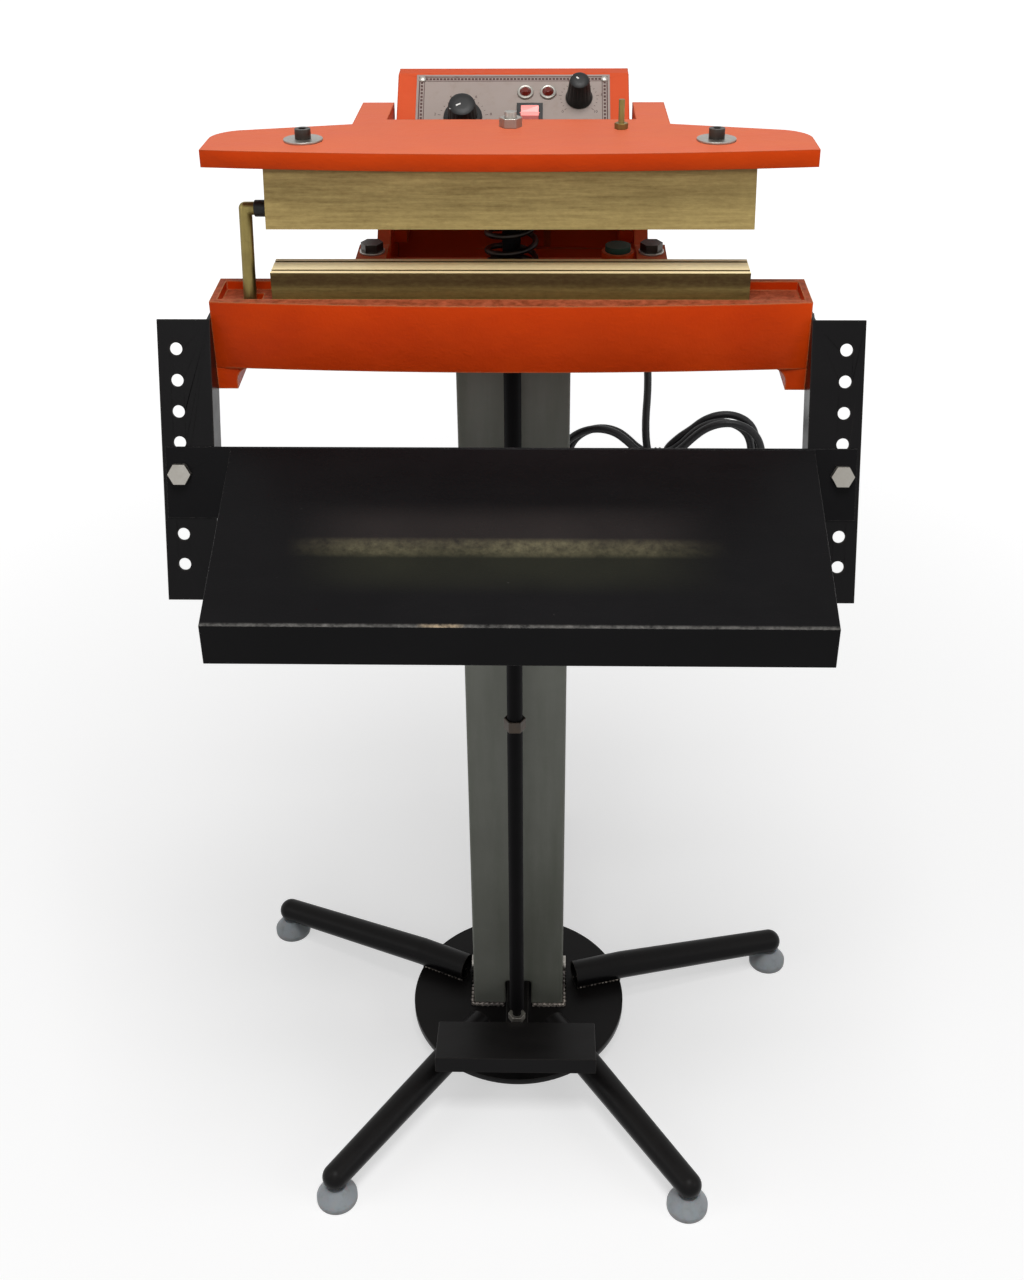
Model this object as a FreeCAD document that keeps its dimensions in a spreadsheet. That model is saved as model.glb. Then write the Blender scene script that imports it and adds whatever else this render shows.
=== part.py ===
import FreeCAD, Part
import math
import os
from types import SimpleNamespace

import Sketcher
from FreeCAD import Placement, Rotation, Vector

# Foot pedal sealer: heated jaws on a cast head, a column on a five-legged base,
# a pedal that pulls the upper arm down through a rod, and a sloping work tray.
# Millimetres. X runs along the jaws, -Y faces the operator and Z is up.
# Heights are above the floor, and Y is measured from the middle of the base disk.

SIZES = {
    # base
    "disk_radius": 126, "disk_thick": 8, "disk_top": 33,
    "leg_radius": 16, "leg_tip_radius": 14, "leg_wall": 2.5, "leg_root": 70, "leg_bend": 132,
    "leg_reach": 326, "front_reach": 320, "leg_tip_height": 35, "leg_seat": 1.5,
    "rear_angle": -2, "left_rear_angle": 65.5, "left_front_angle": 143.2,
    "right_front_angle": 215.5, "right_rear_angle": 286,
    "glide_radius": 22, "glide_edge": 6, "glide_tall": 22, "glide_neck": 11, "glide_stud": 4,
    "stud_gap": 0.3, "glide_stud_top": 44,
    # column, a channel that is open at the back
    "column_half": 53, "column_wall": 6, "column_front": -15, "column_back": 47,
    "column_top": 882, "slot_half": 15.5, "slot_top": 72, "cap_thick": 8, "cap_half": 66,
    "cap_front": -25, "cap_back": 90, "head_bolt": 5, "head_bolt_x": 59.5, "head_bolt_y": 0,
    "head_bolt_gap": 40, "fit": 0.05, "bolt_flats": 17, "bolt_head": 7, "nut_tall": 8,
    # pedal
    "pivot_y": 30, "pivot_z": 55, "pedal_rise": 13, "lever_half": 12.5, "lever_thick": 12,
    "hub_radius": 12, "hub_half": 46, "pin_radius": 6, "pin_head": 9, "pin_head_thick": 4,
    "pedal_half": 88.5, "pedal_start": 132, "pedal_end": 194, "pedal_thick": 4,
    "pedal_lip": 18, "rod_slack": 3,
    # pull rod, measured down from the eye under the arm
    "eye_y": -30, "eye_z": 1058, "eye_half": 5.5, "eye_round": 8, "pull_arm": 121,
    "rod_radius": 8, "rod_joint": 561, "joint_flats": 20, "joint_tall": 13,
    "stud_radius": 5, "stud_above": 26, "stud_below": 25.5, "nut_gap": 8.6, "dome_radius": 10,
    "dome_drop": 16.8, "fork_ear": 5, "fork_gap": 0.4, "fork_round": 9, "fork_drop": 17,
    "fork_base": 8, "fork_pin": 4, "fork_pin_head": 7, "cup_radius": 27, "cup_thick": 4,
    "spring_radius": 21, "spring_wire": 2.6, "spring_turns": 4, "spring_y": -34.5,
    "spring_top": 1026.8, "spring_rest": 0.3,
    # body casting
    "cheek_inner": 108, "cheek_thick": 12, "cheek_rear": 90, "cheek_top": 1034,
    "cheek_brow": 24, "cheek_round": 24, "brow_front": -17, "floor_bottom": 890, "floor_thick": 12,
    "floor_rear": 110, "shoulder_deep": 38, "shoulder_top": 978,
    "bridge_bottom": 964, "bridge_thick": 12, "bridge_deep": 49, "rod_hole": 14,
    "rod_hole_y": -38.4, "floor_hole_y": -27, "web_y": 60, "web_thick": 10, "web_top": 960,
    "ledge_wide": 12, "ledge_tall": 12,
    # hinge of the arm
    "hinge_y": 66, "hinge_z": 1016, "hinge_radius": 8, "bush_wall": 2, "bush_flange": 1.7,
    "bush_flange_radius": 14, "hinge_round": 18, "flange_gap": 0.3, "lug_thick": 12, "hinge_head": 12,
    "hinge_head_thick": 4, "head_gap": 0.3, "rest_tilt": 3, "open_angle": 12.9,
    # lower beam
    "beam_half": 252, "beam_back": -55, "beam_end_front": -108, "beam_bow": 10,
    "beam_top": 975, "beam_bottom": 915, "trough_floor": 967, "trough_front": -102,
    "trough_wall": 6, "trough_thick": 10, "end_wall": 17, "end_drop": 20, "foot_round": 13, "ear_thick": 14,
    "beam_bolt_y": -36, "beam_bolt_long": 34, "beam_washer": 11,
    "beam_washer_thick": 2,
    # jaws
    "jaw_inset": 52, "jaw_front": -99, "lower_jaw_deep": 33, "lower_jaw_top": 997,
    "jaw_gap": 0.4, "foot_lip": 2, "foot_tall": 6, "groove_wide": 3, "groove_deep": 2,
    "groove_inset": 5, "upper_jaw_deep": 30, "upper_jaw_tall": 50, "heater_radius": 6.5,
    "heater_inset": 10, "heater_rise": 15, "heater_tail": 9.5, "heater_end": 4.2,
    "pad_wide": 26, "middle_pad": 32,
    # upper arm, measured from its hinge with the plate level
    "arm_inset": 6, "arm_end_front": -177, "arm_bow": 15, "arm_back": -71,
    "arm_under": 64, "arm_thick": 14, "neck_gap": 2, "lug_rear": -4,
    "wing_root": -88, "wing_shoulder": -110, "wing_tip": -136, "tip_inset": 20,
    "tip_round": 30, "lug_web_front": -46, "screw_inset": 33, "jaw_screw_y": -147,
    "jaw_screw": 4, "jaw_screw_long": 38, "jaw_head_radius": 6.5, "jaw_head_tall": 8,
    "jaw_socket": 6, "socket_deep": 4, "washer_radius": 16, "washer_thick": 2,
    "eye_stud": 5, "eye_stud_spare": 4.5, "eye_collar": 8, "eye_collar_tall": 6,
    "stop_clear": 4, "stop_y": -106, "stop_screw": 2.5, "stop_spare": 24, "stop_flats": 10,
    "stop_nut_tall": 5, "stop_boss_y": -40, "stop_boss_radius": 14, "stop_pad_top": 1000,
    "stop_pad_radius": 11, "stop_pad_thick": 5, "stop_gap": 0.5,
    # brackets and tray, square to a flange that leans forward
    "flange_y": -112, "flange_z": 961, "tray_lean": 20, "flange_wide": 45,
    "flange_long": 242, "side_deep": 28, "side_top": 58, "side_tall": 66, "sheet_thick": 3,
    "hole_radius": 5.3, "hole_pitch": 26.5, "hole_start": 24.8, "hole_inset": 15.5,
    "bracket_bolt_y": -74, "bracket_bolt_z": 944, "bracket_bolt_drop": 26,
    "bracket_bolt": 4, "bracket_bolt_flats": 13, "bracket_bolt_head": 5,
    "bracket_bolt_long": 22, "tray_half": 248, "tray_shift": 10, "tray_deep": 188, "tray_drop": 107.5,
    "tray_sheet": 1.5, "tray_lip": 36, "tray_back_lip": 62, "ear_inset": 3,
    "tray_bolt": 5, "tray_bolt_long": 18,
    # wire conduit beside the upper jaw
    "conduit_gap": 20, "conduit_y": -78, "conduit_radius": 5.5, "conduit_bore": 4.2,
    "conduit_bottom": 930, "sleeve_long": 12, "sleeve_radius": 7,
    "conduit_slot": 8, "slot_back": -69,
    # control box
    "box_gap": 5, "box_front": 25, "box_rear": 100, "box_bottom": 990,
    "box_face": 78, "panel_tilt": 38.4, "panel_rise": 47, "box_sheet": 2,
    "panel_inset": 17, "panel_start": 7, "panel_end": 73, "panel_thick": 1.5,
    "knob_gap": 0.3, "shaft_radius": 3, "shaft_long": 14, "bush_radius": 4.5,
    "device_half": 14, "device_deep": 22, "dial_x": -44, "dial_s": 27, "dial_skirt": 17.2,
    "dial_skirt_tall": 4, "dial_body": 13, "dial_tip": 12, "dial_tall": 21, "tall_x": 58.5,
    "tall_s": 48, "tall_base": 12, "tall_tip": 8.5, "tall_tall": 26, "lamp_x": 21,
    "lamp_gap": 20, "lamp_s": 53.5, "lamp_bezel": 7, "lamp_bezel_tall": 2, "lamp_body": 5,
    "lamp_dome": 3, "lamp_deep": 20, "rocker_x": 15, "rocker_s": 31, "rocker_half": 7.8,
    "rocker_span": 6, "rocker_edge": 4.2, "rocker_dip": 2.5, "rocker_under": 3,
    "rocker_swing": 7, "rocker_axis": 0.5, "rocker_pin": 1.5, "rocker_pin_half": 8.8,
    "well_x": 8.1, "well_s": 7.7, "well_wall": 1.5, "well_deep": 18, "bezel_x": 11.5,
    "bezel_s": 10.5, "bezel_tall": 2,
    # mains cord
    "cord_radius": 4, "cord_x": 80, "cord_rise": 30, "gland_radius": 10, "gland_flats": 22,
    "gland_hex": 8, "gland_inside": 10, "gland_long": 34, "cord_fall_y": 214,
    "cord_bow_x": 118, "cord_bow_y": 220, "cord_bow_z": 905,
    "cord_swing_x": 139, "cord_swing_y": 160, "cord_swing_z": 800, "tie_x": 131,
    "tie_z": 706, "hank_left": 52, "hank_right": 256, "hank_round": 54, "hank_hole": 34, "tail_long": 30,
    "hank_waist": 21, "hank_y": 118, "hank_thick": 34,
    "plug_x": 154, "plug_radius": 17, "plug_grip": 11, "plug_long": 42, "plug_pin": 2.4,
    "plug_pin_long": 17, "plug_pin_ring": 9,
}

HEX = 2 / math.sqrt(3)
doc = FreeCAD.newDocument("FootSealer")
sheet = doc.addObject("Spreadsheet::Sheet", "Sizes")
for row, (alias, number) in enumerate(SIZES.items(), start=1):
    sheet.set("A%d" % row, alias)
    sheet.set("B%d" % row, str(number))
    sheet.setAlias("B%d" % row, alias)
doc.recompute()


class Size:
    """A length or angle that knows both its number and its formula in the sheet."""

    def __init__(self, value, text=None):
        self.value = float(value)
        self.text = text or "(%r)" % self.value

    def __add__(self, other):
        other = size(other)
        return Size(self.value + other.value, "(%s + %s)" % (self.text, other.text))

    def __sub__(self, other):
        other = size(other)
        return Size(self.value - other.value, "(%s - %s)" % (self.text, other.text))

    def __mul__(self, other):
        other = size(other)
        return Size(self.value * other.value, "(%s * %s)" % (self.text, other.text))

    def __truediv__(self, other):
        other = size(other)
        return Size(self.value / other.value, "(%s / %s)" % (self.text, other.text))

    def __neg__(self):
        return Size(-self.value, "(0 - %s)" % self.text)

    def __radd__(self, other):
        return size(other) + self

    def __rsub__(self, other):
        return size(other) - self

    def __rmul__(self, other):
        return size(other) * self


def size(number):
    """Wrap a plain number, and leave a Size as it is."""
    return number if isinstance(number, Size) else Size(number)


def sine(angle):
    return Size(math.sin(math.radians(angle.value)), "sin(%s * 1 deg)" % angle.text)


def cosine(angle):
    return Size(math.cos(math.radians(angle.value)), "cos(%s * 1 deg)" % angle.text)


def tangent(angle):
    return sine(angle) / cosine(angle)


s = SimpleNamespace(**{alias: Size(number, "Sizes." + alias) for alias, number in SIZES.items()})
ROLL_LEFT = Rotation(Vector(0, 1, 0), 90)
ROLL_BACK = Rotation(Vector(1, 0, 0), -90)
AXES = {"z": Rotation(), "x": ROLL_LEFT, "y": ROLL_BACK}
nodes = []


def bind(solid, **sizes):
    """Set properties of an object and tie each one to its formula."""
    for name, length in sizes.items():
        length = size(length)
        setattr(solid, name, length.value)
        if "Sizes" in length.text:
            solid.setExpression(name, length.text)
    return solid


def put(solid, x, y, z, turn=None):
    """Place an object by formulas, with a turn that may be a rotation or an angle about X."""
    x, y, z = size(x), size(y), size(z)
    angle = turn if isinstance(turn, Size) else None
    turn = Rotation(Vector(1, 0, 0), angle.value) if angle else turn or Rotation()
    solid.Placement = Placement(Vector(x.value, y.value, z.value), turn)
    for name, length in (("x", x), ("y", y), ("z", z)):
        if "Sizes" in length.text:
            solid.setExpression("Placement.Base." + name, length.text)
    if angle:
        solid.setExpression("Placement.Rotation.Angle", "%s * 1 deg" % angle.text)
        solid.Placement.Rotation.Axis = Vector(1, 0, 0)
    return solid


def box(x0, x1, y0, y1, z0, z1):
    """A block between two opposite corners."""
    solid = doc.addObject("Part::Box", "Block")
    bind(solid, Length=x1 - x0, Width=y1 - y0, Height=z1 - z0)
    return put(solid, x0, y0, z0)


def round_bar(radius, long, x, y, z, axis="z"):
    """A cylinder that starts at a point and runs along an axis."""
    solid = bind(doc.addObject("Part::Cylinder", "Bar"), Radius=radius, Height=long)
    return put(solid, x, y, z, AXES[axis])


def cone(radius, end_radius, long, x, y, z, axis="z"):
    """A cone that starts at a point and runs along an axis."""
    solid = doc.addObject("Part::Cone", "Cone")
    bind(solid, Radius1=radius, Radius2=end_radius, Height=long)
    return put(solid, x, y, z, AXES[axis])


def ball(radius, x, y, z):
    return put(bind(doc.addObject("Part::Sphere", "Ball"), Radius=radius), x, y, z)


def hexagon(flats, tall, x, y, z, axis="z"):
    """A hexagonal prism, given by its size across flats."""
    solid = bind(doc.addObject("Part::Prism", "Hexagon"), Circumradius=size(flats) * (HEX / 2), Height=tall)
    return put(solid, x, y, z, AXES[axis])


def fuse(*solids):
    joined = doc.addObject("Part::MultiFuse", "Union")
    joined.Shapes = list(solids)
    joined.Refine = True
    return joined


def cut(base, *tools):
    """Take one or more tools away from a base."""
    carved = doc.addObject("Part::Cut", "Carved")
    carved.Base = base
    carved.Tool = tools[0] if len(tools) == 1 else group(*tools)
    carved.Refine = True
    return carved


def group(*solids):
    together = doc.addObject("Part::Compound", "Group")
    together.Links = list(solids)
    return together


def slab(plane, start, long, points):
    """A padded outline of points on XY or YZ, each point tied to its formulas.

    A point may carry a radius: the edge that ends there is then an arc, bulging to the
    right of its direction where the radius is positive and to the left where it is negative.
    """
    body = doc.addObject("PartDesign::Body", "Slab")
    sketch = body.newObject("Sketcher::SketchObject", "Outline")
    base = next(f for f in body.Origin.OriginFeatures if f.Role == plane + "_Plane")
    sketch.AttachmentSupport = [(base, "")]
    sketch.MapMode = "FlatFace"
    sketch.AttachmentOffset.Base = Vector(0, 0, size(start).value)
    if "Sizes" in size(start).text:
        sketch.setExpression("AttachmentOffset.Base.z", size(start).text)
    spots = [tuple(size(p) for p in point) for point in points]
    ends = []
    for index, spot in enumerate(spots):
        last = spots[index - 1]
        here = Vector(spot[0].value, spot[1].value, 0)
        there = Vector(last[0].value, last[1].value, 0)
        if len(spot) == 2:
            edge = sketch.addGeometry(Part.LineSegment(there, here))
            ends.append((edge, 1, 2))
            continue
        radius = abs(spot[2].value)
        chord = here - there
        side = Vector(-chord.y, chord.x, 0).normalize() * math.copysign(1, spot[2].value)
        centre = (here + there) * 0.5 + side * math.sqrt(radius ** 2 - (chord.Length / 2) ** 2)
        first = math.atan2(there.y - centre.y, there.x - centre.x)
        second = math.atan2(here.y - centre.y, here.x - centre.x)
        forward = spot[2].value > 0
        span = (first, second) if forward else (second, first)
        circle = Part.Circle(centre, Vector(0, 0, 1), radius)
        edge = sketch.addGeometry(Part.ArcOfCircle(circle, *span))
        ends.append((edge, 1, 2) if forward else (edge, 2, 1))
        ring = sketch.addConstraint(Sketcher.Constraint("Radius", edge, radius))
        bound = spot[2] if forward else -spot[2]
        if "Sizes" in bound.text:
            sketch.setExpression("Constraints[%d]" % ring, bound.text)
    for index, spot in enumerate(spots):
        edge, _, tail = ends[index]
        following, head, _ = ends[(index + 1) % len(spots)]
        sketch.addConstraint(Sketcher.Constraint("Coincident", edge, tail, following, head))
        for kind, length in (("DistanceX", spot[0]), ("DistanceY", spot[1])):
            number = sketch.addConstraint(
                Sketcher.Constraint(kind, -1, 1, edge, tail, length.value))
            if "Sizes" in length.text:
                sketch.setExpression("Constraints[%d]" % number, length.text)
    pad = body.newObject("PartDesign::Pad", "Thickness")
    pad.Profile = sketch
    bind(pad, Length=long)
    body.Tip = pad
    return body


def arctangent(ratio):
    return Size(math.degrees(math.atan(ratio.value)), "(atan(%s) / 1 deg)" % ratio.text)


def spin(solid, angle):
    """Turn an object about the upright axis by a formula."""
    solid.Placement = Placement(Vector(), Rotation(Vector(0, 0, 1), angle.value))
    solid.setExpression("Placement.Rotation.Angle", "%s * 1 deg" % angle.text)
    return solid


def block(half_x, y0, y1, z0, z1):
    """A block that is even to the left and right."""
    return box(-half_x, half_x, y0, y1, z0, z1)


def node(name, *solids, carry=None):
    """Name the finished piece, in the frame that carries it."""
    piece = group(*solids)
    if carry:
        carry(piece)
    piece.Label = name
    nodes.append(piece)


def both(x, make):
    """Make the same thing on the left and on the right."""
    return [make(-x), make(x)]


def mirrored(inner, outer, make):
    """Make the same thing between two distances on the left and on the right."""
    return [make(-outer, -inner), make(inner, outer)]


def bolt(flats, head, radius, long, x, y, z, hexed=True, up=True):
    """A bolt whose head stands on a face at z, and whose shank goes the other way."""
    under = z if up else z - head
    top = hexagon(flats, head, x, y, under) if hexed else round_bar(flats / 2, head, x, y, under)
    return fuse(top, round_bar(radius, long, x, y, z - long if up else z))


def nut(flats, tall, hole, x, y, z):
    return cut(hexagon(flats, tall, x, y, z), round_bar(hole, tall, x, y, z))


# Foot: a disk on five tapered tube legs, each on a glide
node("base_disk", round_bar(s.disk_radius, s.disk_thick, 0, 0, s.disk_top - s.disk_thick))

leg_axis = s.disk_top + s.leg_radius - s.leg_seat
SQUARE = 90


def leg(name, turn, reach):
    """One tube leg: level on the disk, then sloping down to a rounded end."""
    leg_slope = arctangent((leg_axis - s.leg_tip_height) / (reach - s.leg_bend))
    leg_run = (reach - s.leg_bend) / cosine(leg_slope)
    inner = s.leg_radius - s.leg_wall
    level = round_bar(s.leg_radius, s.leg_bend - s.leg_root, 0, s.leg_root, leg_axis, "y")
    slope = doc.addObject("Part::Cone", "Cone")
    bind(slope, Radius1=s.leg_radius, Radius2=s.leg_tip_radius, Height=leg_run)
    put(slope, 0, s.leg_bend, leg_axis, -(leg_slope + SQUARE))
    bore = doc.addObject("Part::Cone", "Cone")
    bind(bore, Radius1=inner, Radius2=s.leg_tip_radius - s.leg_wall, Height=leg_run)
    put(bore, 0, s.leg_bend, leg_axis, -(leg_slope + SQUARE))
    outside = fuse(level, ball(s.leg_radius, 0, s.leg_bend, leg_axis), slope,
                   ball(s.leg_tip_radius, 0, reach, s.leg_tip_height))
    inside = fuse(round_bar(inner, s.leg_bend - s.leg_root, 0, s.leg_root, leg_axis, "y"),
                  ball(inner, 0, s.leg_bend, leg_axis), bore)
    seat = block(s.leg_radius, s.leg_root, s.disk_radius, s.disk_top - s.leg_radius, s.disk_top)
    flat = round_bar(s.leg_radius, s.glide_tall, 0, reach, 0)
    hole = round_bar(s.glide_stud + s.stud_gap, s.glide_stud_top, 0, reach, 0)
    node(name, cut(outside, inside, seat, flat, hole), carry=lambda piece: spin(piece, turn))


LEGS = (("leg_rear", s.rear_angle, s.leg_reach), ("leg_left_rear", s.left_rear_angle, s.leg_reach),
        ("leg_left_front", s.left_front_angle, s.front_reach),
        ("leg_right_front", s.right_front_angle, s.front_reach),
        ("leg_right_rear", s.right_rear_angle, s.leg_reach))
glides = []
for name, turn, reach in LEGS:
    leg(name, turn, reach)
    glide = fuse(round_bar(s.glide_radius, s.glide_edge, 0, reach, 0),
                 cone(s.glide_radius, s.glide_neck, s.glide_tall - s.glide_edge, 0, reach,
                      s.glide_edge),
                 round_bar(s.glide_stud, s.glide_stud_top, 0, reach, 0))
    glides.append(spin(group(glide), turn))
node("foot_glides", *glides)

# Column: a channel on the disk, with a cap plate that the head is bolted to
channel = block(s.column_half, s.column_front, s.column_back, s.disk_top, s.column_top)
hollow = block(s.column_half - s.column_wall, s.column_front + s.column_wall, s.column_back,
               s.disk_top, s.column_top)
lever_slot = block(s.slot_half, s.column_front, s.pivot_y, s.disk_top, s.slot_top)
pin_bore = round_bar(s.pin_radius + s.fit, s.column_half * 2, -s.column_half, s.pivot_y,
                     s.pivot_z, "x")
node("column", cut(channel, hollow, lever_slot, pin_bore))

cap_top = s.column_top + s.cap_thick
bolt_rows = (s.head_bolt_y, s.head_bolt_y + s.head_bolt_gap)
HEAD_BOLTS = [(x, y) for y in bolt_rows for x in (-s.head_bolt_x, s.head_bolt_x)]
cap_holes = [round_bar(s.head_bolt + s.fit, s.cap_thick, x, y, s.column_top)
             for x, y in HEAD_BOLTS]
node("column_cap", cut(block(s.cap_half, s.cap_front, s.cap_back, s.column_top, cap_top), *cap_holes))
head_face = s.floor_bottom + s.floor_thick
node("head_bolts", *[bolt(s.bolt_flats, s.bolt_head, s.head_bolt, s.floor_thick + s.cap_thick,
                          x, y, head_face) for x, y in HEAD_BOLTS])

# Body casting: floor, two cheeks with shoulders, a bridge, a stop boss and two ledges
cheek_outer = s.cheek_inner + s.cheek_thick
web_inner = cheek_outer + s.bush_flange + s.flange_gap
lug_outer = web_inner + s.lug_thick


def cheek(start, end):
    return slab("YZ", start, end - start, [
        (s.beam_back, s.floor_bottom), (s.cheek_rear, s.floor_bottom), (s.cheek_rear, s.hinge_z),
        (s.hinge_y, s.cheek_top, s.cheek_round), (s.hinge_y - s.cheek_brow, s.cheek_top),
        (s.brow_front, s.shoulder_top), (s.beam_back, s.shoulder_top)])


def shoulder(start, end):
    return box(start, end, s.beam_back, s.beam_back + s.shoulder_deep, s.floor_bottom, s.shoulder_top)


def ledge(start, end):
    return box(start, end, s.box_front, s.cheek_rear, s.box_bottom - s.ledge_tall, s.box_bottom)


boss_base = s.bridge_bottom + s.bridge_thick
beam_bolt_x = (s.cheek_inner + lug_outer) / 2
stop_x = beam_bolt_x - s.beam_washer - s.stop_boss_radius - s.stop_clear
pad_base = s.stop_pad_top - s.stop_pad_thick
body_solid = fuse(
    *mirrored(s.cheek_inner, cheek_outer, cheek),
    *mirrored(s.cheek_inner, lug_outer, shoulder),
    *mirrored(s.cheek_inner - s.ledge_wide, s.cheek_inner, ledge),
    block(s.cheek_inner, s.beam_back, s.floor_rear, s.floor_bottom, head_face),
    block(s.cheek_inner, s.beam_back, s.beam_back + s.bridge_deep, s.bridge_bottom, boss_base),
    block(s.cheek_inner, s.web_y, s.web_y + s.web_thick, head_face, s.web_top),
    round_bar(s.stop_boss_radius, pad_base - s.bridge_bottom, stop_x, s.stop_boss_y,
              s.bridge_bottom))
bolt_shank = s.beam_bolt_long + s.fit
node("body_frame", cut(
    body_solid,
    round_bar(s.rod_hole, s.bridge_thick, 0, s.rod_hole_y, s.bridge_bottom),
    block(s.rod_hole, s.beam_back, s.floor_hole_y, s.floor_bottom, head_face),
    *[round_bar(s.head_bolt + s.fit, s.floor_thick, x, y, s.floor_bottom) for x, y in HEAD_BOLTS],
    *both(beam_bolt_x, lambda x: round_bar(
        s.head_bolt + s.fit, bolt_shank, x, s.beam_bolt_y, s.shoulder_top + s.ear_thick - bolt_shank)),
    round_bar(s.hinge_radius + s.fit, cheek_outer * 2, -cheek_outer, s.hinge_y, s.hinge_z, "x")))

# Lower beam: a bowed hollow section with a trough for the lower jaw and two ears
bow_radius = (s.beam_half * s.beam_half + s.beam_bow * s.beam_bow) / (s.beam_bow * 2)
beam_body = slab("XY", s.beam_bottom, s.beam_top - s.beam_bottom, [
    (s.beam_half, s.beam_end_front, bow_radius), (s.beam_half, s.beam_back),
    (-s.beam_half, s.beam_back), (-s.beam_half, s.beam_end_front)])
cavity_half = s.beam_half - s.end_wall
cavity_top = s.trough_floor - s.trough_thick


def end_foot(start, end):
    return box(start, end, s.beam_end_front, s.beam_back, s.beam_bottom - s.end_drop, s.beam_bottom)


def foot_curve(start, end):
    """The rounding from the foot into the front wall's lower edge."""
    hollow_x = start if start.value > 0 else end
    low = s.beam_bottom - s.foot_round
    deep = s.trough_front - s.beam_end_front
    return cut(box(start, end, s.beam_end_front, s.trough_front, low, s.beam_bottom),
               round_bar(s.foot_round, deep, hollow_x, s.beam_end_front, low, "y"))


def ear(start, end):
    rear = s.beam_back + s.shoulder_deep
    top = s.shoulder_top + s.ear_thick
    return fuse(box(start, end, s.beam_back, rear, s.shoulder_top, top),
                box(start, end, s.beam_back - s.trough_wall, s.beam_back, s.trough_floor, top))


BRACKET_BOLTS = [s.bracket_bolt_z, s.bracket_bolt_z - s.bracket_bolt_drop]
beam_ears = mirrored(s.cheek_inner, lug_outer, ear)
foot_curves = mirrored(cavity_half - s.foot_round, cavity_half, foot_curve)
jaw_half = s.beam_half - s.jaw_inset
jaw_screw_x = jaw_half - s.screw_inset
conduit_x = -jaw_half - s.conduit_gap
bracket_bores = [round_bar(s.bracket_bolt + s.fit, s.beam_half * 2, -s.beam_half,
                           s.bracket_bolt_y, z, "x") for z in BRACKET_BOLTS]
node("lower_beam", cut(
    fuse(beam_body, *mirrored(cavity_half, s.beam_half, end_foot), *foot_curves, *beam_ears),
    block(cavity_half, s.trough_front, s.beam_back - s.trough_wall, s.beam_bottom, cavity_top),
    block(s.beam_half - s.trough_wall, s.trough_front, s.beam_back - s.trough_wall,
          s.trough_floor, s.beam_top),
    box(conduit_x - s.conduit_slot, conduit_x + s.conduit_slot, s.trough_front, s.slot_back,
        cavity_top, s.trough_floor),
    *both(beam_bolt_x, lambda x: round_bar(
        s.head_bolt + s.fit, s.ear_thick, x, s.beam_bolt_y, s.shoulder_top)),
    *bracket_bores))

ear_top = s.shoulder_top + s.ear_thick
washer_top = ear_top + s.beam_washer_thick
node("beam_washers", *both(beam_bolt_x, lambda x: cut(
    round_bar(s.beam_washer, s.beam_washer_thick, x, s.beam_bolt_y, ear_top),
    round_bar(s.head_bolt + s.fit, s.beam_washer_thick, x, s.beam_bolt_y, ear_top))))
node("beam_bolts", *both(beam_bolt_x, lambda x: bolt(
    s.bolt_flats, s.bolt_head, s.head_bolt, s.beam_bolt_long, x, s.beam_bolt_y, washer_top)))

# Lower jaw: a grooved bar with a cartridge heater inside
jaw_back = s.jaw_front + s.lower_jaw_deep
lower_bar = block(jaw_half, s.jaw_front, jaw_back, s.trough_floor, s.lower_jaw_top)
jaw_foot = block(jaw_half, s.jaw_front - s.foot_lip, s.jaw_front, s.trough_floor,
                 s.trough_floor + s.foot_tall)
lower_heater_z = s.lower_jaw_top - s.heater_rise
heater_bore = s.heater_radius + s.fit
heater_half = jaw_half - s.heater_inset


def groove(y):
    return block(jaw_half, y, y + s.groove_wide, s.lower_jaw_top - s.groove_deep, s.lower_jaw_top)


def heater(y, z):
    """A cartridge that fills its bore, with a thinner end for the leads."""
    return fuse(
        round_bar(s.heater_radius, heater_half * 2, -heater_half, y, z, "x"),
        round_bar(s.heater_end, s.heater_tail, -heater_half - s.heater_tail, y, z, "x"))


def heater_hole(y, z):
    return round_bar(heater_bore, jaw_half + heater_half, -jaw_half, y, z, "x")


lower_heater_y = s.jaw_front + s.lower_jaw_deep / 2
node("lower_jaw", cut(
    fuse(lower_bar, jaw_foot), groove(s.jaw_front + s.groove_inset),
    groove(jaw_back - s.groove_inset - s.groove_wide), heater_hole(lower_heater_y, lower_heater_z)))
node("lower_heater", heater(lower_heater_y, lower_heater_z))

# Stop: a soft pad on its boss
node("stop_pad", round_bar(s.stop_pad_radius, s.stop_pad_thick, stop_x, s.stop_boss_y, pad_base))


# Hinge of the arm: a stub pin in each cheek, and a flanged bush in each lug
def hinge_pin(side):
    head_at = lug_outer + s.head_gap
    long = head_at - s.cheek_inner
    if side > 0:
        return fuse(
            round_bar(s.hinge_radius, long, s.cheek_inner, s.hinge_y, s.hinge_z, "x"),
            round_bar(s.hinge_head, s.hinge_head_thick, head_at, s.hinge_y, s.hinge_z, "x"))
    return fuse(
        round_bar(s.hinge_radius, long, -head_at, s.hinge_y, s.hinge_z, "x"),
        round_bar(s.hinge_head, s.hinge_head_thick, -head_at - s.hinge_head_thick, s.hinge_y,
                  s.hinge_z, "x"))


node("arm_pivot_pins", hinge_pin(-1), hinge_pin(1))


def with_arm(piece):
    """Carry a piece that is measured from the hinge, with the arm's plate level."""
    return put(piece, 0, s.hinge_y, s.hinge_z, -s.rest_tilt)


def with_jaw(piece):
    """Carry a piece that is measured from the hinge, with the jaws closed."""
    return put(piece, 0, s.hinge_y, s.hinge_z, -s.open_angle)


bush_outer = s.hinge_radius + s.bush_wall


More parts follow.
